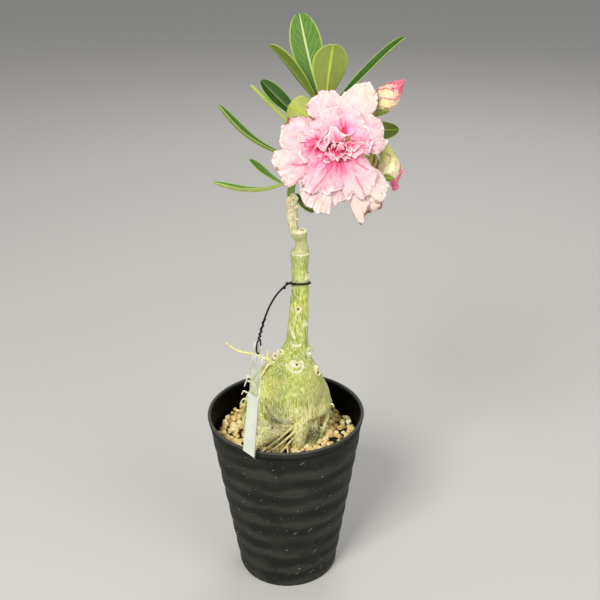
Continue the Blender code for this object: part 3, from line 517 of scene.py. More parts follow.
DRIED_CURLS = (
    ((-24, -3, 165.5, 0.9), (-28.9, -3, 167.4, 0.6), (-30.9, -3, 163.1, 0.4)),
    ((-25, -4, 170, 0.9), (-28.4, -5, 172.8, 0.7), (-29, -5, 169.6, 0.5)),
    ((-27, -3, 150.5, 0.9), (-32, -3, 151.7, 0.6), (-34.8, -3, 147.4, 0.4)),
    ((-28, -2, 156, 0.8), (-31.5, -3, 158.6, 0.55), (-33.2, -3, 156, 0.4)),
    ((33, -5, 146, 0.8), (35.4, -6, 147.6, 0.6), (36.6, -6, 145.4, 0.5)),
)
TWIG = ((12.4, 0, 272, 3), (12, 0, 279, 3), (8.4, 0, 285, 3.5), (7.3, 0, 289, 3.5), (6.9, 0, 294, 3.9),
        (6.9, 0, 303, 4), (6.8, 0, 309, 3.9), (6.5, 0, 314, 3))
TWIG_FOOT = 288 * MM
TRUNK_TOP = 313 * MM
# Rows along and sides round the tube of each kind
THICK_GRID = (24, 20)
FINE_GRID = (28, 12)
TWIG_GRID = (40, 28)
# Each knob of callus: its middle and radius in millimetres
CALLUS_KNOBS = (
    (-3.4, -3, 191.6, 2.6), (-7, -3, 188.6, 2.8), (-11, -6.6, 184.6, 2.2), (17.8, -2.5, 193.6, 2.8),
    (17.9, -2.5, 190, 2.2), (23.2, -3.6, 178.2, 2.6), (24.8, -4, 174, 2.6), (17.4, -3.2, 253, 1.6),
    (17, -1.6, 274.6, 1.3), (10.2, -3.6, 296, 1.2), (10.4, -3, 305, 1.3), (4.2, -2.6, 302, 1.2),
    (10.6, -2, 311, 1.2), (4.6, -1.6, 309.5, 1.1), (9.6, -2.6, 290.5, 1.2),
)
SKIN_VOXEL = 0.7 * MM
SKIN_SOFTENING = 10
# The cut stub beside the twig, with the brown core of its face
STUB_TOP = 284 * MM
STUB_CORE = (13.6, -0.5)
STUB_RADIUS = 6
CORE_RADIUS = 1.9
CORE_BLEND = 0.6
CORE_BROWN = 0.6
# Each scar of a shed root or leaf: its middle, the radius of its raised ragged cream ring, the
# ring's height, and the radius and depth of the brown pit in its middle
SCARS = (
    ((9, -13, 186), 1.9, 0.9, 0.9, 1.4), ((6.2, -12.6, 187.2), 2, 0.6, 0, 0),
    ((12, -12, 186), 1.8, 0.6, 0, 0), ((-7, -5.2, 189.6), 2, 1, 1, 1.4),
    ((-3.4, -5.2, 192.6), 1.8, 0.8, 0.7, 1), ((-11, -8.6, 185), 1.4, 0.4, 0.4, 0.5),
    ((18.6, -4.6, 192), 2.3, 1, 0.6, 0.6), ((17.8, -4.4, 189.2), 1.5, 0.6, 0, 0),
    ((24.6, -6.4, 175), 1.8, 0.9, 0.9, 1.3), ((22.6, -6, 179.4), 1.6, 0.7, 0.3, 0.3),
    ((21.8, -7, 176), 1.3, 0.5, 0, 0), ((10.3, -6.7, 228), 1.6, 0.4, 1.1, 1.6),
    ((16.1, -4.4, 215.3), 1.2, 0.6, 0.4, 0.3), ((17.4, -4.4, 253), 1.3, 0.7, 0.4, 0.4),
    ((16, -5, 251), 0.8, 0.5, 0, 0), ((5.3, -1.6, 243.1), 0.9, 0.5, 0, 0),
    ((-22.1, -3, 169), 1.8, 0.5, 0.5, 0.3), ((-10.4, -24.9, 144.5), 0.8, 0.2, 0.6, 0.9),
    ((-9.5, -20, 134.6), 1.1, 0.3, 0.8, 1.4), ((7.8, -4.6, 270.7), 0.9, 0.3, 0.5, 0.6),
)
SCAR_EDGE = 0.55
SCAR_DISC = 0.75
RING_WAVER = 0.2
PIT_WAVER = 0.15
PIT_BLEND = 0.4
# Each line on the skin: its points, its half width, how far it stands up, or sinks where that is
# below nought, and how pale it is, or how dark where that is below nought
SKIN_LINES = (
    (((3.2, -5.5, 214), (5, -6.5, 209), (7.4, -7.8, 205.5)), 0.75, 0.5, 1),
    (((5.1, -7.5, 199.8), (8.5, -8.6, 199.2), (11.8, -8.1, 199.8)), 0.75, 0.4, 1),
    (((15, -5.4, 217.4), (14.8, -5.8, 214.6), (16.6, -4.6, 213.6), (17.8, -2.6, 215)), 0.7, 0.5, 1),
    (((10.6, -6.3, 270.4), (14, -6, 270), (17, -4, 269.6), (18.3, -1.6, 269.4)), 0.7, 0.5, 1),
    (((5.7, -3.4, 300.1), (7.6, -4.2, 299.6), (9.4, -3.8, 299.8)), 0.5, 0.3, 0.8),
    # Along the ledge over the left root: a sunk line, its dark is painted shade in the crease.
    (((-20, -17, 162), (-17, -21, 157.8), (-11.8, -24.8, 148.8), (-5.5, -25, 140.5), (0, -26, 138)),
     0.8, -0.9, -0.3),
    (((0.9, -12.4, 186.2), (3.6, -15.2, 182.9), (7.2, -16.3, 181.3), (10.9, -15.1, 181.8),
      (13.6, -12.6, 184)), 0.8, 0.6, 1),
    # The slot beside the right root: a sunk line painted dark as the shade in it.
    (((27.5, -14, 143), (26, -13.5, 137), (24, -13, 130)), 1.1, -1, -1),
    (((-11.8, -25.4, 152), (-6, -26.6, 145), (0, -27, 141.6), (4, -27, 140.6)), 0.7, 0.5, 0.8),
    (((-8, -26.6, 158), (-4, -27.6, 149), (0, -28, 145), (5, -28, 143.6)), 0.6, 0.35, 0.6),
    (((-15.6, -22.3, 148.2), (-12.7, -23.8, 144.7), (-10.2, -20.2, 137.1)), 0.5, -0.5, -0.8),
    (((-11.6, -24.8, 149.4), (-9.6, -25.6, 146.7), (-5.3, -25.8, 142.3)), 0.45, -0.4, -0.6),
    (((-2.4, -17, 131.4), (1.4, -23.8, 138.3), (4.4, -27.2, 142.5)), 0.6, -0.6, -0.9),
)
# The ledge over the left root, as its height at each place across
LEDGE_LINE = ((-30, 164), (-17, 157.8), (-11.8, 148.8), (-5.5, 140.5), (0, 136))
LEDGE_STEP = 1.3 * MM
LEDGE_WIDTH = 2.4 * MM
LEDGE_FRONT = -10 * MM
LEDGE_FOOT = 134 * MM
# The middle and the reach of the pale patch on the right flank, and of the dark speckled patch under it,
# which is painted shade in the hollow between the middle and right roots
PALE_FLANK = ((24, -15, 163), 15)
PALE_SHARE = 0.75
SHADED_HOLLOW = ((20, -16, 127), 10)
# Uneven relief: how high it is, the size of its waves, and the seed of their directions
SKIN_SWELLS = (0.25 * MM, 9 * MM, 3)
SKIN_GRAIN = (0.06 * MM, 2.6 * MM, 9)
TWIG_KNOTS = (0.2 * MM, 3.4 * MM, 8)
SWIRL_SIZE = 7 * MM
SWIRL_REACH = 4 * MM


def smooth_rows(rows, count):
    """Rows at even steps along a Catmull-Rom curve through the given rows."""
    rows = np.array(rows, float)
    padded = np.vstack([2 * rows[0] - rows[1], rows, 2 * rows[-1] - rows[-2]])
    place = np.linspace(0, len(rows) - 1, count)
    whole = np.minimum(place.astype(int), len(rows) - 2)
    part = (place - whole)[:, None]
    before, start, end, after = (padded[whole + step] for step in range(4))
    return 0.5 * (
        2 * start
        + (end - before) * part
        + (2 * before - 5 * start + 4 * end - after) * part**2
        + (3 * start - before - 3 * end + after) * part**3
    )


def tube_rings(line, radius, sides, reference=None):
    """A profile carried along a path: at each point of the path a circle of the local radius,
    square to the path, with half a ball at both ends."""
    ahead = unit(np.gradient(line, axis=0))
    swell = np.linspace(1, 0.2, CAP_RINGS) * np.pi / 2
    start = line[0] - radius[0] * np.sin(swell)[:, None] * ahead[0]
    end = line[-1] + radius[-1] * np.sin(swell[::-1])[:, None] * ahead[-1]
    middle = np.vstack([start, line, end])
    ahead = np.vstack([ahead[:1].repeat(CAP_RINGS, 0), ahead, ahead[-1:].repeat(CAP_RINGS, 0)])
    reach = np.concatenate([radius[0] * np.cos(swell), radius, radius[-1] * np.cos(swell[::-1])])
    if reference is None:
        reference = np.eye(3)[np.argmin(np.abs(ahead).max(axis=0))]
    side = unit(np.cross(ahead, reference))
    other = np.cross(ahead, side)
    turn = whole_turn(sides)
    circle = np.cos(turn)[:, None] * side[:, None] + np.sin(turn)[:, None] * other[:, None]
    return middle[:, None] + reach[:, None, None] * circle


def closed_tubes(tubes):
    """Points and faces of several tubes of rings, each closed by a flat face at both ends."""
    points, faces, start = [], [], 0
    for rings in tubes:
        count, sides = rings.shape[:2]
        points.append(rings.reshape(-1, 3))
        faces += quads_of(count, sides, True, start).tolist()
        faces.append([start + corner for corner in range(sides)][::-1])
        faces.append([start + (count - 1) * sides + corner for corner in range(sides)])
        start += count * sides
    return np.concatenate(points), faces


def limb(rows, steps, sides):
    """A tube along a smooth curve through rows of x, y, z and radius in millimetres."""
    line = smooth_rows(rows, steps) * MM
    return tube_rings(line[:, :3], line[:, 3], sides)


def body_rings():
    """The swollen base and the stem: level ovals whose edges and depth follow a table."""
    height, left, right, depth = smooth_rows(TRUNK_EDGES, TRUNK_RINGS).T[:, :, None]
    turn = whole_turn(TRUNK_SIDES)
    half = (right - left) / 2
    rings = MM * np.stack([(left + right) / 2 + half * np.cos(turn), half * depth * np.sin(turn),
                           height + 0 * turn], axis=-1)
    rings[-1, :, 2] += STUB_SLANT * np.sin(turn + 0.4) * 0.5
    return rings


def ball_rings(x, y, z, radius):
    """A ball as a short tube: rings from pole to pole."""
    place = np.array((x, y, z)) * MM
    line = place + np.array((0, 0, 1)) * np.linspace(-0.05, 0.05, 2)[:, None] * radius * MM
    return tube_rings(line, np.full(2, radius * MM), BALL_SIDES, (1, 0, 0))


def bake_modifiers(obj):
    """Apply an object's modifiers to its mesh."""
    bpy.context.view_layer.update()
    evaluated = obj.evaluated_get(bpy.context.evaluated_depsgraph_get())
    mesh = bpy.data.meshes.new_from_object(evaluated)
    obj.modifiers.clear()
    obj.data = mesh


def rumple(points, size, seed, waves=14):
    """Uneven relief from -1 to 1: a sum of sine waves of about one size in random directions."""
    draw = np.random.default_rng(seed)
    ways = unit(draw.normal(size=(waves, points.shape[1]))) * 2 * np.pi / size
    ways = ways * draw.uniform(0.6, 1.4, (waves, 1))
    return np.sin(points @ ways.T + draw.uniform(0, 2 * np.pi, waves)).sum(axis=1) / math.sqrt(waves)


def uneven(points, height, size, seed):
    """Uneven relief of about this height."""
    return height * rumple(points, size, seed)


def fade(points, middle, reach):
    """One at a middle, falling off to nothing with distance by a bell curve of this reach."""
    return np.exp(-(np.linalg.norm(points - np.array(middle) * MM, axis=1) / (reach * MM)) ** 2)


def from_line(points, line):
    """Distance of each point to a smooth curve through a few points in millimetres."""
    dots = smooth_rows(line, 40) * MM
    return np.linalg.norm(points[:, None] - dots, axis=2).min(axis=1)


def on_skin(points, place):
    """The point of the skin nearest to a place in millimetres."""
    return points[np.linalg.norm(points - np.array(place) * MM, axis=1).argmin()]


def skin_marks(points):
    """Relief, cream and dark of the skin's marks. A scar is a raised ring, the bell curve of the
    distance to a wavering circle, higher in some places than in others, round a pit. A line is the
    bell curve of the distance to it."""
    relief, cream, dark = np.zeros((3, len(points)))
    ragged, broken = rumple(points, 2.6 * MM, 61), rumple(points, 3.2 * MM, 62)
    for middle, radius, height, pit_radius, pit in SCARS:
        away = np.linalg.norm(points - on_skin(points, middle), axis=1) / MM
        ring = np.exp(-((away - radius * (1 + RING_WAVER * ragged)) / SCAR_EDGE) ** 2)
        inside = np.clip((pit_radius * (1 + PIT_WAVER * ragged) - away) / PIT_BLEND + 0.5, 0, 1) * (pit > 0)
        relief += height * ring * np.clip(0.8 + 0.5 * broken, 0.15, 1.4) - pit * inside
        pale = np.maximum(ring, SCAR_DISC * (away < radius)) * np.clip(1.1 + 0.45 * broken, 0.4, 1)
        cream = np.maximum(cream, pale)
        dark = np.maximum(dark, inside * min(1, 1.4 * pit))
    # The dark of the sunk lines is drawn with the brown of the pits; along the ledge and in the slot beside
    # the right root it is painted shade.
    for line, width, height, pale in SKIN_LINES:
        away = from_line(points, [on_skin(points, place) / MM for place in line])
        close = np.exp(-(away / (width * MM)) ** 2)
        relief += height * close
        cream = np.maximum(cream, close * max(pale, 0))
        dark = np.maximum(dark, close * max(-pale, 0))
    return relief * MM, cream, dark


bark = new_finish("caudex_skin", {"Roughness": 0.42, "Subsurface Weight": 0.1, "Subsurface Scale": 0.002})
bark_place = place_on(bark)
height_share = share_of_height(bark, TRUNK_TOP)
swirl = add(bark, "ShaderNodeTexNoise", {"Vector": bark_place, "Scale": 1 / SWIRL_SIZE, "Detail": 2.0})
swirl = add(bark, "ShaderNodeVectorMath", {0: swirl.outputs["Color"], 1: (0.5, 0.5, 0.5)},
            operation="SUBTRACT")
swirl = add(bark, "ShaderNodeVectorMath", {0: swirl.outputs[0], "Scale": SWIRL_REACH}, operation="SCALE")
swirled = add(bark, "ShaderNodeVectorMath", {0: bark_place, 1: swirl.outputs[0]}).outputs[0]


def net_of_lines(size, tall, thin):
    """Fine lines between cells of this size, a few times as tall as wide, that drift in swirls."""
    scaled = add(bark, "ShaderNodeMapping", {"Vector": swirled, "Scale": (1, 1, 1 / tall)})
    cells = add(bark, "ShaderNodeTexVoronoi", {"Vector": scaled.outputs[0], "Scale": 1 / size},
                feature="DISTANCE_TO_EDGE")
    return ramp(bark, cells.outputs["Distance"], [(0.0, 1.0), (thin, 0.6), (2 * thin, 0.0)])


net = net_of_lines(1.6 * MM, 6.5, 0.1)
short_dashes = noise(bark, 1.5 * MM, (0.75, 0.75, 4.5), 1, 0.7)
blotches = noise(bark, 14 * MM, (1, 1, 1.3))
line_share = ramp(bark, height_share, [(0.43, 0.95), (0.49, 0.7), (0.54, 0.36), (0.68, 0.4)])
green_drift = sum_of(bark, blotches, ramp(bark, height_share, [(0.43, 0.2), (0.53, 0.0)]))
green = ramp(bark, green_drift, [
    (0.32, seen(136, 164, 32)), (0.5, seen(174, 192, 50)), (0.7, seen(208, 213, 82))])
light_dashes = ramp(bark, sum_of(bark, short_dashes, product(bark, line_share, 0.08)),
                    [(0.57, 0.0), (0.62, 1.0)])
graft_colour = mottled(bark, 5 * MM, [(0.3, seen(168, 176, 112)), (0.7, seen(206, 204, 158))])
twig_colour = mottled(bark, 2.4 * MM, [
    (0.3, seen(146, 84, 52)), (0.38, seen(206, 196, 146)), (0.6, seen(232, 228, 190)),
    (0.75, seen(190, 198, 140))], (1, 1, 0.7), 4)
# Painted shade in the hollow between the middle and right roots: near black, with pale specks.
hollow_shade_colour = mottled(bark, 1.2 * MM, [
    (0.44, seen(30, 34, 14)), (0.56, seen(96, 104, 50)), (0.63, seen(226, 226, 190))], detail=4)
feed(bark, "Base Color", lay_over(bark, green, [
    (ramp(bark, short_dashes, [(0.34, 0.7), (0.46, 0.0)]), seen(112, 136, 28)),
    (product(bark, light_dashes, line_share), seen(252, 250, 192)),
    (product(bark, net, line_share), seen(254, 250, 200)),
    (value_of(bark, "pale"), seen(182, 178, 108)),
    (ramp(bark, height_share, [(0.77, 0.0), (0.82, 0.3)]), seen(176, 186, 130)),
    (ramp(bark, height_share, [(0.861, 0.0), (0.868, 0.8)]), graft_colour),
    (ramp(bark, height_share, [(0.905, 0.0), (0.925, 1.0)]), twig_colour),
    (value_of(bark, "painted_hollow_shade"), hollow_shade_colour),
    (value_of(bark, "scar"), seen(255, 247, 220)),
    # The brown of the pits and of the stub's core, and painted shade in the creases of the ledge and the
    # slot.
    (value_of(bark, "brown_core_and_crease_shade"), seen(120, 60, 26))]))
bump(bark, sum_of(bark, net, short_dashes), 0.3 * MM)

trunk_parts = [body_rings()]
trunk_parts += [limb(rows, *THICK_GRID) for rows in THICK_ROOTS]
trunk_parts += [ball_rings(*knob) for knob in CALLUS_KNOBS]
trunk_parts.append(limb(TWIG, *TWIG_GRID))
trunk = piece("trunk_skin", *closed_tubes(trunk_parts), bark)
remesh = trunk.modifiers.new("skin", "REMESH")
remesh.mode = "VOXEL"
remesh.voxel_size = SKIN_VOXEL
remesh.adaptivity = 0
blend = trunk.modifiers.new("blend", "SMOOTH")
blend.factor = 0.5
blend.iterations = SKIN_SOFTENING
bake_modifiers(trunk)
trunk.data.shade_smooth()
skin_points = read_points(trunk.data)
skin_normals = read_points(trunk.data, "normals")
skin_x, skin_y, skin_z = skin_points.T
relief, scar, brown_core_and_crease_shade = skin_marks(skin_points)
ledge_height = np.interp(skin_x / MM, *np.array(LEDGE_LINE).T) * MM
below_ledge = np.clip((ledge_height - skin_z) / LEDGE_WIDTH, 0, 1)
below_ledge *= (skin_x < 0) & (skin_y < LEDGE_FRONT) & (skin_z > LEDGE_FOOT)
stub_radius = np.hypot(skin_x / MM - STUB_CORE[0], skin_y / MM - STUB_CORE[1])
on_stub = (skin_z > STUB_TOP) & (skin_normals[:, 2] > 0.6) & (stub_radius < STUB_RADIUS)
scar = np.maximum(scar, on_stub)
brown_core_and_crease_shade = np.maximum(brown_core_and_crease_shade, on_stub * np.clip((CORE_RADIUS - stub_radius) / CORE_BLEND, 0, CORE_BROWN))
relief += uneven(skin_points * (1, 1, 0.6), *SKIN_SWELLS) - LEDGE_STEP * below_ledge
relief += np.where(skin_z > TWIG_FOOT, uneven(skin_points, *TWIG_KNOTS), uneven(skin_points, *SKIN_GRAIN))
trunk.data.vertices.foreach_set("co", (skin_points + relief[:, None] * skin_normals).ravel())
trunk.data.update()
write_value(trunk.data, "scar", scar * 0.95)
write_value(trunk.data, "brown_core_and_crease_shade", brown_core_and_crease_shade * 0.9)
write_value(trunk.data, "pale", PALE_SHARE * fade(skin_points, *PALE_FLANK))
write_value(trunk.data, "painted_hollow_shade", np.clip(1.7 * fade(skin_points, *SHADED_HOLLOW) - 0.5, 0, 0.9))
fit(trunk, "trunk")

fine_skin = new_finish("fine_root_skin", {"Roughness": 0.5})
root_colour = mottled(fine_skin, 2 * MM, [
    (0.3, seen(196, 188, 98)), (0.5, seen(232, 224, 150)), (0.7, seen(244, 240, 202))])
dried_colour = mix(fine_skin, value_of(fine_skin, "dried"), root_colour, seen(240, 234, 212))
feed(fine_skin, "Base Color", dried_colour)
bump(fine_skin, noise(fine_skin, 0.8 * MM), 0.1 * MM)
root_tubes = [limb(rows, *FINE_GRID) for rows in FINE_ROOTS + DRIED_CURLS]
fine_roots = piece("fine_roots", *closed_tubes(root_tubes), fine_skin)
dried = [0.0] * len(FINE_ROOTS) + [0.9] * len(DRIED_CURLS)
write_value(fine_roots.data, "dried", np.repeat(dried, root_tubes[0][..., 0].size))
fit(fine_roots, "trunk")


# Gravel: the pot is filled to near its rim with potting mix under a layer of crushed cream and tan
# stone. The grains are loose, each about 3 to 4 mm, and the mix between them is in shadow.

GRAVEL_TOP = 120 * MM
BED_LEVEL = 117.6 * MM
BED_CLEARANCE = 0.3 * MM
BED_CHAMFER = 1.3 * MM
BED_RINGS = 28
BED_SEGMENTS = 96
BED_WAVES = (0.35 * MM, 5 * MM, 5)
GRAIN_SEED = 21
GRAIN_PITCH = 4.3 * MM
GRAIN_JITTER = 0.42 * GRAIN_PITCH
# Each layer of grains: its lowest and highest middles, and the share of its places that hold one
GRAIN_LAYERS = ((117.8, 119.4, 0.82), (119.5, 120.9, 0.34))
# The least and the greatest radius of a grain in millimetres
GRAIN_SIZE = (1.6, 2.9)
GRAIN_SIDES = 7
GRAIN_RINGS = 4
GRAIN_PLANES = 9
# How near the planes that cut a grain lie, how far its corners reach at most, and how far it is
# stretched each way, all as shares of its size
GRAIN_CUTS = (0.7, 1.0)
GRAIN_REACH = 1.12
GRAIN_STRETCH = (0.75, 1.2)
# How far a grain may reach into the wall and the skin, as a share of its size
WALL_OVERLAP = 0.05
SKIN_OVERLAP = 0.1
# One large grain, as x, y, z and radius, and a spot in front of the base that is free of grains,
# where the near-black mix shows as painted deep shade between the roots
BIG_GRAIN = (33, -5, 120.6, 3.8)
BARE_SPOT = ((-1, -27), 5)


def grain_directions():
    """Directions from a grain's middle to its corners: two poles and rings between them."""
    height = np.cos(np.pi * (np.arange(GRAIN_RINGS) + 0.9) / (GRAIN_RINGS + 0.8))
    turn = whole_turn(GRAIN_SIDES)
    level = np.sqrt(1 - height**2)[:, None]
    ring = np.stack([level * np.cos(turn), level * np.sin(turn), height[:, None] + 0 * turn], axis=-1)
    return np.vstack([(0, 0, 1), ring.reshape(-1, 3), (0, 0, -1)])


def grain_faces():
    """Faces of one grain: fans at the poles and quads between its rings."""
    first = np.arange(GRAIN_SIDES) + 1
    after = np.roll(first, -1)
    last = first + (GRAIN_RINGS - 1) * GRAIN_SIDES
    foot = GRAIN_RINGS * GRAIN_SIDES + 1
    quads = quads_of(GRAIN_RINGS, GRAIN_SIDES, True, 1)[:, ::-1]
    fans = [(0, a, b) for a, b in zip(first, after)]
    fans += [(foot, b, a) for a, b in zip(last, np.roll(last, -1))]
    return quads, np.array(fans)


def turned_at_random(count, draw):
    """Rotation matrices from random unit quaternions."""
    w, x, y, z = unit(draw.normal(size=(count, 4))).T
    return np.stack([
        np.stack([1 - 2 * (y * y + z * z), 2 * (x * y - z * w), 2 * (x * z + y * w)], axis=-1),
        np.stack([2 * (x * y + z * w), 1 - 2 * (x * x + z * z), 2 * (y * z - x * w)], axis=-1),
        np.stack([2 * (x * z - y * w), 2 * (y * z + x * w), 1 - 2 * (x * x + y * y)], axis=-1),
    ], axis=1)


def crushed_grains(middles, sizes, draw):
    """Corners of angular grains: each direction reaches as far as the nearest of a few random
    planes, which gives flat faces, then the grain is stretched and turned."""
    ways = grain_directions()
    planes = unit(draw.normal(size=(len(middles), GRAIN_PLANES, 3)))
    depth = draw.uniform(*GRAIN_CUTS, (len(middles), GRAIN_PLANES, 1))
    towards = np.maximum(planes @ ways.T, 0.05)
    reach = np.minimum((depth / towards).min(axis=1), GRAIN_REACH)
    stretch = draw.uniform(*GRAIN_STRETCH, (len(middles), 1, 3))
    corners = reach[..., None] * ways * stretch * sizes[:, None, None]
    return middles[:, None] + np.einsum("nij,nvj->nvi", turned_at_random(len(middles), draw), corners)


def grain_places(draw):
    """Middles of the grains: a jittered lattice for each layer, kept inside the wall and out of
    the trunk and its roots."""
    reach = int(POT_RIM_RADIUS / GRAIN_PITCH) + 1
    across, back = np.meshgrid(*[np.arange(-reach, reach + 1)] * 2)
    lattice = np.stack([(across + 0.5 * (back % 2)) * GRAIN_PITCH,
                        back * GRAIN_PITCH * math.sqrt(3) / 2], axis=-1).reshape(-1, 2)
    layers = []
    for bottom, top, share in GRAIN_LAYERS:
        flat = lattice + draw.uniform(-GRAIN_JITTER, GRAIN_JITTER, lattice.shape)
        level = draw.uniform(bottom, top, len(flat)) * MM
        kept = draw.random(len(flat)) < share
        layers.append(np.column_stack([flat, level])[kept])
    middles = np.vstack(layers)
    sizes = draw.uniform(*GRAIN_SIZE, len(middles)) * MM
    x, y, z = middles.T
    inside = np.hypot(x, y) + (1 - WALL_OVERLAP) * sizes < pot_inner(GRAVEL_TOP)
    height, left, right, depth = smooth_rows(TRUNK_EDGES, 200).T
    half, centre, flatness = (np.interp(z / MM, height, values) for values in (
        (right - left) / 2, (right + left) / 2, depth))
    from_body = np.hypot(x - centre * MM, y / flatness) - half * MM
    limbs = np.vstack([smooth_rows(rows, 60) for rows in THICK_ROOTS]) * MM
    from_limb = (np.linalg.norm(middles[:, None] - limbs[:, :3], axis=2) - limbs[:, 3]).min(axis=1)
    clear = np.minimum(from_body, from_limb) > -SKIN_OVERLAP * sizes
    clear &= np.linalg.norm(middles[:, :2] / MM - BARE_SPOT[0], axis=1) > BARE_SPOT[1]
    return middles[inside & clear], sizes[inside & clear]


# Painted shade: the mix is painted near black, its own dark brown with the shade in the gaps between grains
# painted into it.
soil_and_gap_shade = new_finish("potting_mix_and_gap_shade", {"Roughness": 0.95})
feed(soil_and_gap_shade, "Base Color", mottled(soil_and_gap_shade, 1.6 * MM, [
    (0.35, seen(8, 6, 3)), (0.6, seen(24, 18, 10)), (0.8, seen(60, 46, 28))], detail=4))
bump(soil_and_gap_shade, noise(soil_and_gap_shade, 1.5 * MM, detail=4), 0.8 * MM)
bed_radius = pot_inner(BED_LEVEL) - BED_CLEARANCE
bed_foot = POT_FLOOR + BED_CLEARANCE
bed_profile = [(0, bed_foot), (pot_inner(bed_foot) - BED_CHAMFER, bed_foot), (bed_radius, BED_LEVEL)]
bed_profile += [(share * bed_radius, BED_LEVEL) for share in np.linspace(0.97, 0, BED_RINGS)]
bed_grid = turned(bed_profile, BED_SEGMENTS)
bed_top = bed_grid[-BED_RINGS:]
bed_top[..., 2] += uneven(bed_top.reshape(-1, 3), *BED_WAVES).reshape(bed_top.shape[:2])
bed_grid[-1, :, 2] = BED_LEVEL
bed = piece("potting_mix", *joined_grids([bed_grid], wrap=True), soil_and_gap_shade, weld=True)
crease_by_angle(bed, 50)
fit(bed, "gravel")

stone = new_finish("crushed_stone", {"Roughness": 0.82, "Specular IOR Level": 0.35})
stone_tint = ramp(stone, value_of(stone, "tint"), [
    (0.0, seen(182, 143, 79)), (0.16, seen(216, 182, 109)), (0.38, seen(238, 210, 137)),
    (0.64, seen(248, 227, 159)), (0.86, seen(252, 240, 186)), (1.0, seen(254, 248, 220))])
grit = noise(stone, 1.3 * MM, detail=4)
stone_colour = mix(stone, 0.45, stone_tint, ramp(stone, grit, [(0.3, 0.5), (0.6, 1.0)]), "MULTIPLY")
# Painted shade in the gaps: low down, below the top of the layer of grains, the stone is painted dark
# brown.
painted_gap_shade = ramp(stone, share_of_height(stone, GRAVEL_TOP), [(0.986, 1.0), (0.994, 0.0)])
feed(stone, "Base Color", mix(stone, painted_gap_shade, stone_colour, seen(40, 29, 14)))
bump(stone, grit, 0.35 * MM)
draw = np.random.default_rng(GRAIN_SEED)
grain_middles, grain_sizes = grain_places(draw)
grain_middles = np.vstack([grain_middles, np.array(BIG_GRAIN[:3]) * MM])
grain_sizes = np.append(grain_sizes, BIG_GRAIN[3] * MM)
grain_corners = crushed_grains(grain_middles, grain_sizes, draw)
quads, fans = grain_faces()
starts = np.arange(len(grain_middles))[:, None, None] * grain_corners.shape[1]
grain_mesh_faces = (quads + starts).reshape(-1, 4).tolist() + (fans + starts).reshape(-1, 3).tolist()
grains = piece("gravel_grains", grain_corners.reshape(-1, 3), grain_mesh_faces, stone)
crease_by_angle(grains, 32)
write_value(grains.data, "tint", draw.random(len(grain_middles)).repeat(grain_corners.shape[1]))
fit(grains, "gravel")


# Leafy shoot: the new green growth from the twig's end, with a rosette of long spoon-shaped leaves.
# Each leaf is thick and glossy, with a pale midrib, fine side veins and a lighter edge.

# Rows of x, y, z and radius in millimetres
SHOOT = ((6.4, 0, 311.5, 2.9), (6.4, 0, 317.5, 2.6), (9, 0.5, 327, 2.6), (14.5, 1, 341, 2.8),
         (21.5, 0, 355, 3), (27.4, -2, 366, 3.2), (29.4, -3, 371, 3.2))
SHOOT_STEPS = 60
SHOOT_SIDES = 24
LEAF_THICKNESS = 0.5 * MM
LEAF_ALONG = 40
LEAF_ACROSS = 17
LEAF_WIDEST = 0.7
LEAF_STALK_WIDTH = 0.14
LEAF_TIP_WIDTH = 0.02
LEAF_WAVE = 0.5 * MM
LEAF_WAVE_TURN = 2.5 * math.pi
MIDRIB_HEIGHT = 0.45 * MM
MIDRIB_WIDTH = 0.8 * MM
VEIN_PAIRS = 12
VEIN_SLANT = 2.8
VEIN_DRIFT = 1.2
# Each leaf: place along the shoot, tip in millimetres, width in millimetres, the way its upper face
# looks, bow towards that face as a share of its length, fold in degrees, and how light its green is,
# which is partly the leaf's own green and partly painted light on lit leaves and painted shade on shaded
# ones
LEAVES = (
    (0.95, (13.4, 20, 432), 22, (0.2, -1, 0.3), -0.06, 10, 0.8),
    (0.97, (34, -17, 418), 23, (-0.1, 1, 0.4), 0.05, 6, 0.4),
    (0.90, (-6.5, -4, 416), 14, (0.75, 0.6, 0.3), 0.04, 22, 0.1),
    (0.96, (81.8, 0, 419), 10, (-0.5, -0.5, 0.7), 0.01, 46, 0.2),
    (0.70, (-13, 20, 388), 13, (0.3, -0.8, 0.6), -0.03, 18, 0.0),
    (0.62, (-20, 2, 389), 6, (0.75, 0.1, 0.7), -0.02, 56, 0.8),
    (0.80, (5.4, 2, 374.8), 21, (0.1, 0.95, -0.1), 0.08, 8, 0.85),
    (0.48, (-41.5, 0, 376), 10, (0.6, -0.2, 0.75), -0.13, 45, 0.45),
    (0.20, (-22.5, 8, 336), 8, (0.1, -0.4, 0.9), -0.1, 42, 0.65),
    (0.30, (-47.5, 0, 322.5), 9, (0.1, 0.05, 1), -0.13, 45, 0.9),
    (0.14, (22, 6, 299), 15, (0.8, -0.3, 0.5), -0.1, 20, 0.2),
    (0.34, (44, 9, 305), 14, (0.6, -0.5, 0.6), 0.12, 20, 0.3),
    (0.74, (81, 12, 354.8), 15, (0.1, 0.9, -0.5), 0.04, 12, 0.1),
    (0.44, (74.6, -25.4, 331.6), 7.5, (0.1, 0.9, -0.4), 0.04, 16, 0.2),
    (0.50, (77.5, 15, 322), 13, (0.4, -0.4, 0.9), 0.1, 20, 0.4),
    (0.88, (24, 55, 396), 18, (0, -0.5, 1), 0.06, 14, 0.5),
    (0.60, (56, 46, 366), 17, (-0.1, -0.4, 1), 0.1, 14, 0.4),
    (0.36, (14, 46, 350), 16, (0.1, -0.4, 1), 0.1, 14, 0.3),
)


def square_to(vector, axis):
    """The part of a vector that is square to a unit axis, at length one."""
    return unit(np.array(vector, float) - np.dot(vector, axis) * axis)


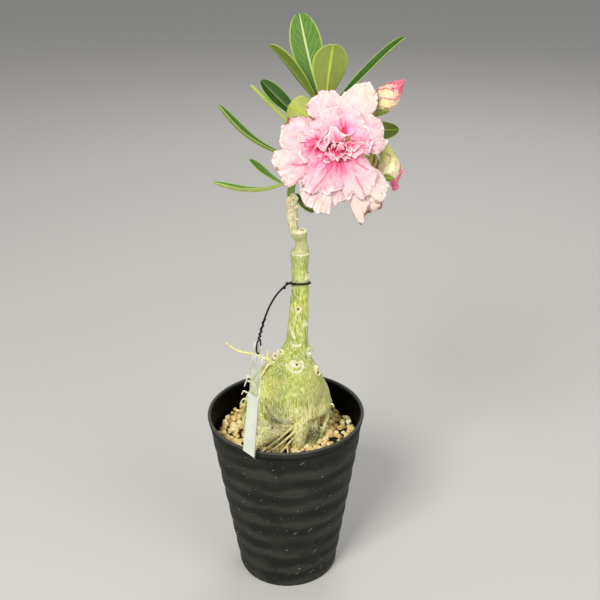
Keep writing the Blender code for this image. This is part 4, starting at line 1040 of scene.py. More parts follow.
def leaf_outline(along):
    """Share of the full width along a leaf: a short stalk, widest past the middle, a round tip."""
    rise = np.clip(along / LEAF_WIDEST, 0, 1)
    fall = np.clip((along - LEAF_WIDEST) / (1 - LEAF_WIDEST), 0, 1)
    body = LEAF_STALK_WIDTH + (1 - LEAF_STALK_WIDTH) * rise * rise * (3 - 2 * rise)
    return np.maximum(body * np.sqrt(1 - fall**2), LEAF_TIP_WIDTH)


def leaf_grid(root, tip, width, face, bow, fold):
    """A leaf over a grid of places along and across it: a bowed spine, a width that follows the
    outline, edges folded up towards the upper face and waved, and a midrib raised below."""
    length = np.linalg.norm(tip - root)
    ahead = unit(tip - root)
    face = square_to(face, ahead)
    side = np.cross(ahead, face)
    along = (1 - (1 - np.linspace(0, 1, LEAF_ALONG)) ** 1.5)[:, None]
    across = np.linspace(-1, 1, LEAF_ACROSS)[None, :]
    half = 0.5 * width * leaf_outline(along)
    turn = math.radians(fold)
    wave = LEAF_WAVE * across**2 * np.sin(LEAF_WAVE_TURN * along + across) * np.sin(np.pi * along)
    rib = MIDRIB_HEIGHT * (1 - 0.6 * along) * np.exp(-(across * half / MIDRIB_WIDTH) ** 2)
    rise = np.abs(across) * half * math.sin(turn) + wave - rib + bow * length * 4 * along * (1 - along)
    grid = (root + along[..., None] * (tip - root) + (across * half * math.cos(turn))[..., None] * side
            + rise[..., None] * face)
    return grid, along + 0 * across, across + 0 * along


def thicken(obj, thickness, back=0):
    """Give a sheet its thickness, half to each side, with another material on its back if it has one."""
    solidify = obj.modifiers.new("thickness", "SOLIDIFY")
    solidify.thickness = thickness
    solidify.offset = 0
    solidify.material_offset = back
    bake_modifiers(obj)


def leaf_finish(name, dark, light, vein, edge, roughness):
    """A leaf's face: its green by leaf, side veins slanting from the midrib, and a pale edge."""
    made = new_finish(name, {"Roughness": roughness, "Subsurface Weight": 0.05, "Subsurface Scale": 0.002,
                             "Coat Weight": 0.04, "Coat Roughness": 0.3, "Specular IOR Level": 0.16})
    # How light each leaf is: partly its own green, partly painted light and painted shade of that leaf.
    along, green_and_shading = value_of(made, "along"), value_of(made, "light")
    off = sum_of(made, value_of(made, "across"), 0, "ABSOLUTE")
    mottle = noise(made, 4 * MM)
    shade = ramp(made, mottle, [(0.3, 0.55), (0.7, 1.0)])
    base = mix(made, 0.35, mix(made, green_and_shading, dark, light), shade, "MULTIPLY")
    slant = sum_of(made, product(made, along, VEIN_PAIRS), product(made, off, VEIN_SLANT), "SUBTRACT")
    drift = product(made, noise(made, 7 * MM, detail=2), VEIN_DRIFT)
    wave = sum_of(made, sum_of(made, slant, drift), 1, "FRACT")
    veins = ramp(made, wave, [(0.0, 0.5), (0.07, 0.12), (0.14, 0.0), (0.92, 0.0), (1.0, 0.5)])
    vein_share = sum_of(made, product(made, green_and_shading, 0.55), 0.06)
    midrib = product(made, ramp(made, off, [(0.0, 1.0), (0.05, 0.9), (0.09, 0.0)]),
                     ramp(made, green_and_shading, [(0.0, 0.35), (0.35, 1.0)]))
    feed(made, "Base Color", lay_over(made, base, [
        (product(made, veins, vein_share), vein),
        (midrib, vein),
        (ramp(made, off, [(0.88, 0.0), (0.97, 0.8)]), edge)]))
    bump(made, sum_of(made, veins, mottle, "SUBTRACT"), 0.12 * MM)
    return made


leaf_upper = leaf_finish("leaf_upper_face", seen(44, 84, 16), seen(108, 150, 66), seen(206, 220, 156),
                         seen(182, 212, 108), 0.4)
leaf_under = leaf_finish("leaf_underside", seen(84, 112, 18), seen(206, 220, 124), seen(196, 212, 78),
                         seen(186, 208, 92), 0.5)
shoot_green = new_finish("shoot_green", {"Roughness": 0.45})
feed(shoot_green, "Base Color", mottled(shoot_green, 3 * MM, [
    (0.3, seen(88, 112, 42)), (0.7, seen(146, 164, 82))], (1, 1, 3)))
bump(shoot_green, noise(shoot_green, 1.5 * MM, (1, 1, 3)), 0.2 * MM)

shoot = piece("shoot_stem", *closed_tubes([limb(SHOOT, SHOOT_STEPS, SHOOT_SIDES)]), shoot_green)
fit(shoot, "leafy_shoot")
shoot_line = smooth_rows(SHOOT, SHOOT_STEPS) * MM
leaf_grids = []
leaf_values = {"along": [], "across": [], "light": []}
for place, tip, width, face, bow, fold, light in LEAVES:
    root = shoot_line[int(place * (SHOOT_STEPS - 1)), :3]
    grid, along, across = leaf_grid(root, np.array(tip) * MM, width * MM, face, bow, fold)
    leaf_grids.append(grid)
    leaf_values["along"].append(along)
    leaf_values["across"].append(across)
    leaf_values["light"].append(np.full(along.shape, light))
leaves = piece("leaves", *joined_grids(leaf_grids), leaf_upper)
leaves.data.materials.append(leaf_under)
write_parts(leaves.data, leaf_values)
thicken(leaves, LEAF_THICKNESS, back=1)
fit(leaves, "leafy_shoot")


# Flower stalks: a short green peduncle on the front of the shoot, four pedicels from it, and at
# each flower a cup of five pointed sepals that holds its base.

# Rows of x, y, z and radius in millimetres
PEDUNCLE = ((27.4, -6.8, 365.2, 1.8), (28.6, -9, 365.9, 1.9), (32, -10.6, 366.6, 1.9),
            (36, -10.6, 366, 1.9))
TUBE = ((35, -12.4, 351.5, 3), (35, -18, 353, 3.6), (34.6, -26, 355.6, 6), (34.3, -33, 357.2, 8),
        (34.3, -36, 358, 4))
PEDICELS = {
    "bloom": ((34, -10.6, 367, 1.7), (37.4, -8, 360, 1.7)),
    "bud_upper": ((34, -10.6, 366.5, 1.6), (45, -10.6, 365, 1.5)),
    "bud_front": ((35, -10.6, 366, 1.6), (51, -11.5, 364, 1.5)),
    "bud_rear": ((35, -10.6, 366, 1.6), (46, -7, 361.5, 1.5)),
}
# Each bud: the middle of its base, its tip, its greatest radius, and how many turns its petals wind
BUDS = {
    "bud_upper": ((60.9, -10, 373.3), (79.8, -10.6, 393), 7.7, 0.35),
    "bud_front": ((69.6, -14.4, 347.4), (76, -16, 322.5), 6.9, 0.3),
    "bud_rear": ((58.5, -3, 347), (63, -2.5, 326.5), 4.6, 0.3),
}
PEDUNCLE_GRID = (24, 20)
PEDICEL_GRID = (30, 16)
PEDICEL_END = 2.6
PEDICEL_STRAIGHT = 5
BUD_CLEARANCE = 1.07
SEPAL_COUNT = 5
SEPAL_LENGTH = {"bloom": 0.25, "bud_upper": 0.32, "bud_front": 0.14, "bud_rear": 0.14}
SEPAL_THICKNESS = 0.7 * MM
SEPAL_NOTCH = 0.3
CALYX_DEPTH = 4.5 * MM
CALYX_GAP = 0.6 * MM
CALYX_SIDES = 60
# Where the rings of a cup lie: up its outside and down its inside, as shares of a sepal's length
CALYX_OUTSIDE = (0.2, 0.4, 0.6, 0.8, 0.95)
CALYX_INSIDE = (0.95, 0.6, 0.3)


def bud_radius(share):
    """Radius of a bud along its length, as a share of its greatest radius."""
    return np.interp(share, (0, 0.12, 0.3, 0.5, 0.7, 0.86, 1), (0.4, 0.68, 0.95, 1, 0.78, 0.42, 0.1))


def flower_base(name):
    """Middle of a flower's base and the unit axis that it grows along, in millimetres."""
    base, tip = (TUBE[0][:3], TUBE[1][:3]) if name == "bloom" else BUDS[name][:2]
    return np.array(base, float), unit(np.array(tip, float) - np.array(base, float))


def flower_radius(name, share):
    """Outer radius of a flower at a share of its length, or of the bloom's tube, in metres."""
    if name == "bloom":
        return np.interp(share, (0, 0.4, 1), (TUBE[0][3], TUBE[1][3], TUBE[2][3])) * MM
    return BUDS[name][2] * BUD_CLEARANCE * bud_radius(share) * MM


def calyx_rings(name):
    """A cup round a flower's base: rings up its outside and down its inside, whose edge rises to
    five points with the power of a cosine."""
    base, axis = flower_base(name)
    tip = np.array(TUBE[2][:3] if name == "bloom" else BUDS[name][1], float)
    base, length = base * MM, np.linalg.norm(tip - base) * MM
    side = square_to((1, 0, 0) if name == "bloom" else (0, 1, 0), axis)
    other = np.cross(axis, side)
    turn = whole_turn(CALYX_SIDES)
    point = np.abs(np.cos(SEPAL_COUNT * turn / 2)) ** 2.2
    share = SEPAL_LENGTH[name] * (SEPAL_NOTCH + (1 - SEPAL_NOTCH) * point)

    def inner(place):
        """Radius inside the cup: the flower's own and a gap."""
        return flower_radius(name, place) + CALYX_GAP

    foot = inner(0)
    rows = [(-CALYX_DEPTH, PEDICEL_END * MM),
            (-2.6 * MM, 0.6 * PEDICEL_END * MM + 0.5 * foot),
            (-1.2 * MM, foot + 0.8 * SEPAL_THICKNESS)]
    rows += [(part * share * length, inner(part * share) + SEPAL_THICKNESS * (1.05 - 0.35 * part**2))
             for part in CALYX_OUTSIDE]
    rows += [(share * length, inner(share) + 0.35 * SEPAL_THICKNESS)]
    rows += [(part * share * length, inner(part * share)) for part in CALYX_INSIDE]
    rows += [(-0.3 * MM, foot)]
    return np.array([base + np.outer(level + 0 * turn, axis) + np.outer(reach * np.cos(turn), side)
                     + np.outer(reach * np.sin(turn), other) for level, reach in rows])


stalk_green = new_finish("stalk_green", {
    "Roughness": 0.5, "Subsurface Weight": 0.05, "Subsurface Scale": 0.002})
stalk_colour = mottled(stalk_green, 2.5 * MM, [
    (0.3, seen(104, 118, 36)), (0.6, seen(168, 176, 84)), (0.8, seen(196, 184, 110))])
faded_green = mix(stalk_green, value_of(stalk_green, "faded"), stalk_colour, seen(232, 236, 150))
feed(stalk_green, "Base Color", faded_green)
bump(stalk_green, noise(stalk_green, 1.2 * MM), 0.15 * MM)
stalk_tubes, faded = [limb(PEDUNCLE, *PEDUNCLE_GRID)], [0]
for name, rows in PEDICELS.items():
    base, axis = flower_base(name)
    sunk = 0.5 * CALYX_DEPTH / MM
    near = (*(base - (sunk + PEDICEL_STRAIGHT) * axis), rows[-1][3])
    end = (*(base - sunk * axis), 0.8 * PEDICEL_END)
    stalk_tubes += [limb((*rows, near, end), *PEDICEL_GRID), calyx_rings(name)]
    faded += [0, 0.9 if name == "bud_front" else 0]
stalks = piece("stalks_and_sepals", *closed_tubes(stalk_tubes), stalk_green)
write_value(stalks.data, "faded", np.repeat(faded, [tube[..., 0].size for tube in stalk_tubes]))
crease_by_angle(stalks, 60)
fit(stalks, "flower_stalks")


# Bloom: one double flower on a funnel tube. Broad thin petals in four whorls overlap, with pleats
# that run in to the throat and ruffled pale margins, round a crimson heart of crumpled petals.

# The middle of the bloom in millimetres, and the way that it faces
THROAT = (34.3, -33, 357)
BLOOM_FACES = (-0.04, -0.95, 0.31)
PETAL_THICKNESS = 0.4 * MM
PETAL_ROOT = 1.5 * MM
ROOT_WIDTH = 4 * MM
RUFFLE_LENGTH = 8.5 * MM
# Each petal: its margin, as points to the right of the throat and above it in millimetres over the
# bloom's face; the middle of its root; how far its root, its margin and its middle stand forward;
# its ruffle; and its warmth, which draws the crimson of the throat outwards
OUTER_PETALS = (
    (((-13.3, 15), (-17.8, 24.6), (-16.5, 27.1), (-14.9, 29.9), (-11.3, 31.8), (-9.4, 34.3),
      (-6.9, 34.9), (-1.7, 34.6), (2.1, 32.7), (4.4, 32), (6, 33.3), (7.9, 33.3), (9.8, 28.9)),
     (0, 0), (0, -1.5, 3), 1.9, -0.04),
    (((6, 29), (7.9, 34.6), (10.5, 36.5), (12.4, 38.1), (14.9, 39.3), (18.8, 39.9), (22, 39.6),
      (25.2, 36.4), (27.1, 32), (27.5, 28.2), (27.2, 24.5), (25.3, 21.3), (21, 15)),
     (0, 0), (0, -3, 3), 1.8, -0.12),
    (((13, 18), (20, 19.6), (23.9, 19.3), (27.8, 17.4), (31, 14.8), (32.3, 11.7), (32, 7.2), (32.4, 3.4),
      (32.1, -0.4), (30.8, -3.6), (26.7, -5.5), (22.2, -4.2), (18, -6)), (0, 0), (0, -0.5, 3.5), 1.9, 0.0),
    (((20.3, -7.3), (21.6, -9.3), (25.5, -14.4), (28.7, -16.3), (31.3, -18.2), (33.3, -22.7), (35, -26),
      (34, -29.2), (32.1, -33.7), (30.2, -36.3), (27, -36.9), (19, -34)), (0, 0), (0, -1.5, 3), 1.8, -0.06),
    (((30, -28), (31, -33), (31, -38.2), (29.1, -40.8), (25.8, -42.1), (21.9, -42.8), (17, -38)),
     (0, 0), (0, -3.5, 2), 1.2, -0.12),
    (((9, -28), (10.1, -33.7), (11.1, -40.1), (13.4, -46), (16.7, -50.8), (18.7, -50.5), (19.9, -46.6),
      (21.9, -42.7), (22.5, -34)), (0, 0), (0, -2.5, 3), 0.9, -0.02),
    (((-19, -19), (-22.3, -23.3), (-22.3, -28.4), (-22.4, -32.9), (-19.1, -36.8), (-17.8, -39.4),
      (-15.2, -40.7), (-13.9, -38.1), (-9, -35)), (0, 0), (0, -0.5, 3), 1.7, 0.03),
    (((-16, -34), (-15.2, -38.5), (-13.3, -42), (-9.4, -43.3), (-5.5, -44.3), (-2.9, -44), (-2.2, -38.1),
      (-1.6, -31)), (0, 0), (0, -1.8, 3), 1.6, -0.14),
    (((-6, -32), (-3.5, -36.5), (-2.2, -38.2), (0.4, -38.5), (3.6, -36.2), (6.2, -35.9), (8.5, -31)),
     (0, 0), (0, -2.8, 3), 1.4, -0.03),
    (((-15, -22), (-19.8, -24.6), (-25, -24.5), (-27.6, -25.8), (-30.2, -26.5), (-33.4, -24.5),
      (-34.7, -20.7), (-36.6, -17.4), (-38.2, -15.8), (-39.2, -12.9), (-40.1, -9.1), (-38.8, -4),
      (-35.2, -2.7), (-28, -1)), (0, 0), (0, -2, 3.5), 2.0, 0.0),
    (((-30, -5), (-35.5, 1.1), (-35.8, 4.9), (-34.5, 10), (-33.2, 13.8), (-30.6, 15), (-28.7, 17.6),
      (-24.8, 19.1), (-21, 18.2), (-17.1, 18.2), (-11, 17)), (0, 0), (0, -1, 3.5), 2.0, 0.0),
)
MIDDLE_PETALS = (
    (((3.5, -20), (4.8, -27.8), (6.7, -32.9), (9.9, -34.2), (12.5, -31.6), (15.1, -32.9), (18.9, -34.9),
      (21.5, -32.3), (24.1, -29.8), (25.3, -24.6), (27.2, -20.8), (25.2, -15.7), (18, -8)),
     (0, 0), (1.5, 2.5, 2.5), 1.8, 0.03),
    (((-15, -12), (-19.7, -20.7), (-20.3, -27.1), (-17.1, -29.7), (-14.5, -31.6), (-12, -29.7),
      (-6.8, -30.3), (-4.2, -31.6), (-1.7, -29.7), (2.2, -28.4), (4.8, -27.8), (5.5, -18)),
     (0, 0), (1.5, 3.2, 2.5), 1.9, 0.05),
    (((-14, 4), (-16.4, 13.4), (-12, 17.2), (-9.4, 20.9), (-4.3, 22.8), (-0.5, 24), (3.3, 24), (5.2, 20.9),
      (5.9, 12)), (0, 0), (1.5, 3, 2.5), 1.8, -0.1),
    (((1, 12), (3.9, 22.8), (7.7, 26.5), (12.2, 24.6), (16, 20.8), (18.6, 16.4), (19.9, 11.4), (16, 4)),
     (0, 0), (1.5, 2.5, 2.5), 1.9, -0.08),
    (((-4, -13), (-12, -15.7), (-17.7, -13.1), (-20.9, -9.3), (-22.8, -4.2), (-23.5, 0.8), (-21.5, 5.9),
      (-18.3, 9.7), (-11, 11)), (0, 0), (1.5, 4, 2), 2.1, 0.08),
    (((9, 11), (17.4, 12.1), (21.9, 9.6), (24.5, 4.5), (24.5, -0.5), (21.3, -4.3), (14, -9)),
     (0, 0), (1.5, 3, 2), 1.9, 0.03),
)
HEART_PETALS = (
    (((11.6, 9.5), (16.1, 7.6), (20.5, 4.4), (21.8, 0), (19.9, -4.4)), (3, 0), (2, 4, 1), 1.6, 0.02),
    (((-19.6, 8.6), (-22.8, 7.4), (-23.6, 4.6), (-22, 2.1), (-19.4, 2.2)), (-13, 4), (4, 6, 0), 1.3, -0.04),
    (((-9.4, 10.4), (-13.5, 10.2), (-17, 9), (-20, 6.4)), (-6, 3), (2.5, 5, 0.5), 1.5, 0.04),
    (((-8.4, -7), (-13.5, -7.4), (-18.4, -5.2), (-20.6, -1.5)), (-6, -1), (2, 4.5, 0.5), 1.5, 0.06),
    (((8.5, 2.5), (13, 1.6), (17.5, 2.2), (20.4, 0.4)), (6, -1), (2.5, 5.5, 0.5), 1.3, 0.12),
    (((-8.1, 4.8), (-6.6, 5.9), (-5.2, 7.6), (-4.4, 9.8)), (-11.4, 6.6), (3.5, 6, 0.5), 1.4, 0.02),
    (((-8.4, 2.8), (-6.4, 5.4), (-4.3, 7.6), (-3, 10.1), (-1.6, 12.9), (0.4, 12), (2.9, 9.4), (5.2, 7),
      (7.6, 5.8)), (1.6, -0.6), (3, 6.6, 0.8), 0.8, -0.14),
    (((9.6, 13.2), (11.6, 11.6), (12.6, 8.9), (11, 6.7), (8.4, 5.7), (6.6, 5.9)),
     (6.9, 9.4), (3.6, 6, 0), 0.7, -0.02),
    (((-13.4, -3.2), (-10.9, -1.5), (-8.9, -3.2), (-7.2, -4.6), (-5.5, -2.5), (-4.2, 0), (-3, 4)),
     (-10.4, 5), (3.6, 8, 1), 1.1, 0.04),
    (((-10.8, -0.8), (-9.3, 1.4), (-8.2, 3.8), (-6.2, 2.8), (-6.6, 0.2)),
     (-12.6, 3.4), (5, 7.6, 0), 1.2, 0.02),
    (((-10.2, -10.2), (-8.9, -7.9), (-6.2, -6.4), (-3.6, -7.7), (-1.6, -9.6), (1, -8.2)), (-2.4, -1),
     (2.2, 5.6, 0.5), 1.1, 0.12),
    (((-7, -9.4), (-5.6, -11), (-3.2, -10.6), (-2.6, -8.6)), (-3.5, -5), (3.4, 6.4, 0), 1.2, 0.04),
    (((0.9, -3.9), (1.9, -0.8), (3.6, 1.4), (5.3, -0.8), (6.2, -3.3)), (3.6, -4.6), (6.4, 9, 0), 0.5, -0.2),
    (((-2.2, 3.4), (-0.4, 2.2), (0.6, 0.4), (0.2, -2)), (-3.6, -1.6), (3, 7, 0), 1.1, 0.14),
    (((6.4, 1.6), (7.6, -0.6), (7.4, -3.2), (6.2, -5)), (9.6, -2), (3, 7, 0), 1.2, 0.1),
    (((7.6, -3), (10.3, -4.6), (12.9, -3.9), (14.8, -1.9), (16.7, -0.8), (18.8, -1.6)),
     (9.6, 2), (2.6, 7, 0.6), 1.4, 0.02),
    (((10.8, -7.7), (12.9, -8.5), (14.8, -6.9), (16.7, -5.8), (18.6, -4.8), (20.8, -5.2), (22.2, -6.6)),
     (10.5, -2), (2.4, 6.2, 0.6), 1.5, -0.02),
    (((0.6, -8.4), (2.1, -10.4), (3.3, -7.7), (5.2, -8.4), (6.5, -9.8), (8, -8.4), (9.8, -8.8)),
     (4.8, -3.2), (3.6, 8, 0.5), 1.3, 0.02),
    (((3.4, -5.4), (5, -6.6), (7.2, -5.8), (9.2, -6.8)), (6, -3.4), (5, 8.8, 0), 1.1, 0.0),
    (((6, 2.6), (7.4, 4.5), (9.6, 4.9), (11, 3.2)), (8.4, 1.2), (4, 7.6, 0), 0.7, 0.04),
    (((-19, 23.5), (-17.8, 21), (-16.4, 18.6), (-14, 16.6)), (-12, 20.5), (1, 3.4, 0.5), 0.9, 0.0),
    (((31.8, 3.4), (33.4, 3.2), (34.2, 1.8), (33, 0.4)), (30, 1.6), (0, 1.5, 0.5), 0.6, -0.4),
)
# Rows along and across a petal, the length of its frills' waves, how high they are, how much of them
# is finer still, and how much paler its margin is
OUTER_DETAIL = (30, 70, RUFFLE_LENGTH, 0.5 * MM, 0.6, 0.0)
MIDDLE_DETAIL = (28, 64, RUFFLE_LENGTH, 0.6 * MM, 0.6, 0.0)
HEART_DETAIL = (15, 35, 4.8 * MM, 0.36 * MM, 0.34, 0.36)
CRUMPLED_DETAIL = (14, 26, 4.4 * MM, 0.36 * MM, 0.34, 0.36)
PETAL_SEED = 11
PLEAT_HEIGHT = 0.1 * MM
# Lines over the bloom's face where the petals fold, painted crimson: the petals' deeper pink in the folds,
# with the shade in the folds and in the gaps between petals painted in
CREASES = (
    ((0.2, -9.3), (-2.6, -14), (-6.2, -19.5), (-10.6, -25.2), (-15.8, -31.6)),
    ((1.8, -11), (1, -14), (1.4, -17)),
    ((13.4, -19.8), (15.4, -23.6), (17.6, -27.4), (19.5, -32.9)),
    ((13, -9.4), (16.4, -12.6), (21.4, -15.7)),
    ((-27.3, -11.8), (-22.6, -12.6), (-17.1, -11.4)),
    ((3.4, 16.4), (4.6, 12), (6.6, 7.7)), ((6.8, 15.2), (6.8, 11.4), (7.2, 8.2)),
    ((-5, -4.6), (-2.4, -2.4), (0.6, -1.6)),
)
CREASE_WIDTH = 0.5 * MM
CREASE_DEPTH = 0.95
HEART_CREASE_DEPTH = 0.5
# How much pinker the frills' hollows are painted than their crests: partly the pink streaks of the pleats,
# partly painted shade in the hollows.
FRILL_PINK_AND_SHADE = 0.1
MARGIN_WIDTH = 6 * MM
# How far from the throat the crimson fades out, and the lengths that the fine veins are drawn over
GLOW_REACH = 44 * MM
VEIN_LENGTH = 10 * MM
VEIN_WIDTH = 5 * MM
# Spots over the bloom's face: the middle, the radius and how strong the colour is
STAMEN_SPOT = ((8.6, 3.6), 2, 0.9)
LILAC_SPOT = ((10.8, 9.4), 3, 0.7)
# Where the petals flush a deeper pink: right and up of the throat, how far it spreads, how deep
FLUSHES = np.array((
    (5.6, 10, 5.5, 0.32), (-13.2, 1.5, 7, 0.1), (15.5, 1, 7, 0.16), (-20, 5.5, 4, 0.1),
    (-24, -13, 8, 0.16), (3, -12.5, 8, 0.1), (-8, -12.5, 7, 0.1), (10, -15.7, 7, 0.05),
    (-30, -18, 7, 0.12), (30, 10, 6, 0.1)))
# The crumpled petals of the heart: how many, the half axes and the middle of the oval that they stand
# in, how uneven their margins are, and the range that chance picks each of their measures from
CRUMPLED_COUNT = 6
CRUMPLED_OVAL = np.array((12, 6.5))
CRUMPLED_MIDDLE = np.array((2.5, -3))
CRUMPLED_JITTER = 0.5
CRUMPLED_RANGES = {
    "turn": (-0.35, 0.35), "way out": (0.35, 1.0), "half width": (2.2, 4), "arc": (0.5, 2.2),
    "root": (2, 3.5), "margin": (4.5, 7), "ruffle": (1, 1.7), "warmth": (-0.18, 0.1),
}
CRUMPLED_BOWL = 0.5
RUMPLE = 0.55 * MM
RUMPLE_SIZE = 11 * MM
# Where the margins are withered: right and up of the throat, and how far it spreads
WITHERED = np.array((
    (-17, 21.7, 3.4), (-14, 17.8, 2.6), (-31.3, 16.2, 3.4), (-26, 19, 2.4), (-37.1, -14.5, 1.3),
    (20.8, -42.8, 3.4), (16, -36, 1.6), (27.2, -34.5, 1.6), (29.6, -39, 2.4), (-20, -26, 1.2),
    (16.7, -51, 1.6), (11.2, -42, 1.4), (12.6, -45, 1.2)))
TUBE_END = (34.5, -28, 356, 4.5)
TUBE_GRID = (40, 32)


def bloom_frame():
    """The bloom's right, up and forward directions."""
    forward = unit(BLOOM_FACES)
    up = square_to((0, 0, 1), forward)
    return np.cross(up, forward), up, forward


def even_curve(points, count):
    """Places at even distances along a smooth curve through the points, and its whole length."""
    fine = smooth_rows(points, 30 * len(points))
    run = np.append(0, np.cumsum(np.linalg.norm(np.diff(fine, axis=0), axis=1)))
    even = np.linspace(0, run[-1], count)
    return np.stack([np.interp(even, run, places) for places in fine.T], axis=-1), run[-1]


def petal_sheet(margin, root, stand, ruffle, detail, phase):
    """A petal over a grid of places along and across it. Flat on the bloom's face it runs straight
    from a short arc at its root to its margin. It stands forward by a slope, a bowl in its middle,
    ruffles and finer frills that grow towards the margin, pleats that run along it, and rumples.
    Each wave is a rumple along the margin that grows with a power of the place along the petal."""
    along_count, across_count, wave_length, frill, fine_share = detail
    seed = int(100 * phase)
    curve, span = even_curve(np.array(margin) * MM, across_count)
    across = np.linspace(0, 1, across_count)[None, :]
    along = (np.linspace(0, 1, along_count) ** 0.65)[:, None]
    root = np.array(root) * MM
    out = unit(curve.mean(axis=0) - root)
    sideways = unit(curve[-1] - curve[0])
    root = root + PETAL_ROOT * out + (across[0, :, None] - 0.5) * ROOT_WIDTH * sideways
    run = np.stack([across * span + 0 * along, 0.35 * along * span + 0 * across], axis=-1).reshape(-1, 2)

    def waves(share, step):
        """A rumple over the petal, its waves this share of the frills' length."""
        return rumple(run, share * wave_length, seed + step).reshape(along_count, across_count)

    scallop = frill * (along**5 * waves(1, 1) + 1.2 * fine_share * along**9 * waves(0.32, 2))
    flat = root + along[..., None] * (curve - root) + scallop[..., None] * unit(curve - root.mean(axis=0))
    fine = waves(0.34, 5)
    ruffles = 0.6 * along**2.5 * waves(2.6, 3) + 0.65 * along**6 * waves(1, 4)
    ruffles += fine_share * along**8 * fine
    pleats = np.sin(np.pi * along) * np.sin(2.6 * np.pi * across * span / wave_length + 2 * phase)
    soft = along * rumple(flat.reshape(-1, 2), RUMPLE_SIZE, seed).reshape(along_count, -1)
    at_root, at_margin, bowl = np.array(stand) * MM
    lift = at_root * (1 - along) + at_margin * along + bowl * np.sin(np.pi * along)
    lift = lift + ruffle * MM * ruffles + PLEAT_HEIGHT * pleats + RUMPLE * soft
    return flat, lift, along, across, span, along**2 * fine


def crumpled_hearts(draw):
    """Small petals crowded in the heart, in the same terms as the others: each margin is a short
    arc, a parabola across its way out, at a place spread evenly round an oval with some chance."""
    def chance(measure):
        """One of a petal's measures, picked evenly from its range."""
        return draw.uniform(*CRUMPLED_RANGES[measure])

    petals = []
    across = np.linspace(-1, 1, 5)[:, None]
    for number in range(CRUMPLED_COUNT):
        turn = 2 * np.pi * (number + chance("turn")) / CRUMPLED_COUNT
        out = np.array((math.cos(turn), math.sin(turn)))
        side = np.array((-out[1], out[0]))
        place = CRUMPLED_OVAL * out * chance("way out") + CRUMPLED_MIDDLE
        margin = place + across * side * chance("half width") - across**2 * out * chance("arc")
        stand = (chance("root"), chance("margin"), CRUMPLED_BOWL)
        margin += draw.normal(0, CRUMPLED_JITTER, margin.shape)
        petals.append((margin, tuple(0.5 * place), stand, chance("ruffle"), chance("warmth")))
    return petals


def near_lines(flat, lines):
    """Distance from each place on the bloom's face to the nearest of some lines."""
    dots = np.vstack([even_curve(np.array(line) * MM, 50)[0] for line in lines])
    return np.linalg.norm(flat[..., None, :] - dots, axis=-1).min(axis=-1)


def bells(flat, spots):
    """For each place on the bloom's face, the bell curve of its distance to each of some spots."""
    away = np.linalg.norm(flat[..., None, :] / MM - spots[:, :2], axis=-1)
    return np.exp(-(away / spots[:, 2]) ** 2)


def spot_on(flat, middle, radius, strength):
    """A round spot on the bloom's face, even in its middle and soft at its edge."""
    return strength * np.exp(-(np.linalg.norm(flat / MM - middle, axis=-1) / radius) ** 4)


petal_skin = new_finish("petal_skin", {
    "Roughness": 0.55, "Subsurface Weight": 0.1, "Subsurface Scale": 0.0015,
    "Subsurface Radius": (1.0, 0.5, 0.45), "Sheen Weight": 0.08})
vein_place = add(petal_skin, "ShaderNodeCombineXYZ", {
    0: value_of(petal_skin, "across"),
    1: product(petal_skin, value_of(petal_skin, "reach"), 2.2),
    2: value_of(petal_skin, "petal")}).outputs[0]
veins = add(petal_skin, "ShaderNodeTexNoise", {
    "Vector": vein_place, "Scale": 1.0, "Detail": 5.0, "Roughness": 0.6}).outputs[0]
flush = add(petal_skin, "ShaderNodeTexNoise", {
    "Vector": vein_place, "Scale": 0.35, "Detail": 2.0}).outputs[0]
glow = sum_of(petal_skin, value_of(petal_skin, "glow"), swing(petal_skin, veins, 0.5))
glow = sum_of(petal_skin, glow, swing(petal_skin, flush, 0.5))
petal_colour = ramp(petal_skin, glow, [
    (0.0, seen(214, 32, 88)), (0.08, seen(236, 76, 128)), (0.18, seen(246, 122, 160)),
    (0.34, seen(247, 166, 190)), (0.5, seen(247, 190, 205)), (0.7, seen(246, 206, 210)),
    (1.0, seen(237, 214, 205))])
vein_shade = ramp(petal_skin, veins, [(0.4, 0.82), (0.54, 1.0)])
petal_colour = mix(petal_skin, 0.5, petal_colour, vein_shade, "MULTIPLY")
to_edge = value_of(petal_skin, "margin")
pink_edge = product(petal_skin, ramp(petal_skin, to_edge, [(0.0, 0.9), (0.08, 0.4), (0.16, 0.0)]),
                    ramp(petal_skin, flush, [(0.46, 0.0), (0.56, 1.0)]))
feed(petal_skin, "Base Color", lay_over(petal_skin, petal_colour, [
    (ramp(petal_skin, to_edge, [(0.0, 1.0), (0.1, 0.8), (0.3, 0.0)]), seen(254, 244, 243)),
    (pink_edge, seen(240, 146, 166)),
    (value_of(petal_skin, "lilac"), seen(246, 172, 226)),
    # Crimson along the folds: partly the petals' own deeper pink, partly painted shade.
    (value_of(petal_skin, "crease"), seen(216, 34, 92)),
    (value_of(petal_skin, "stamen"), seen(206, 158, 112)),
    (value_of(petal_skin, "withered"), seen(136, 74, 38))]))
bump(petal_skin, veins, 0.35 * MM)

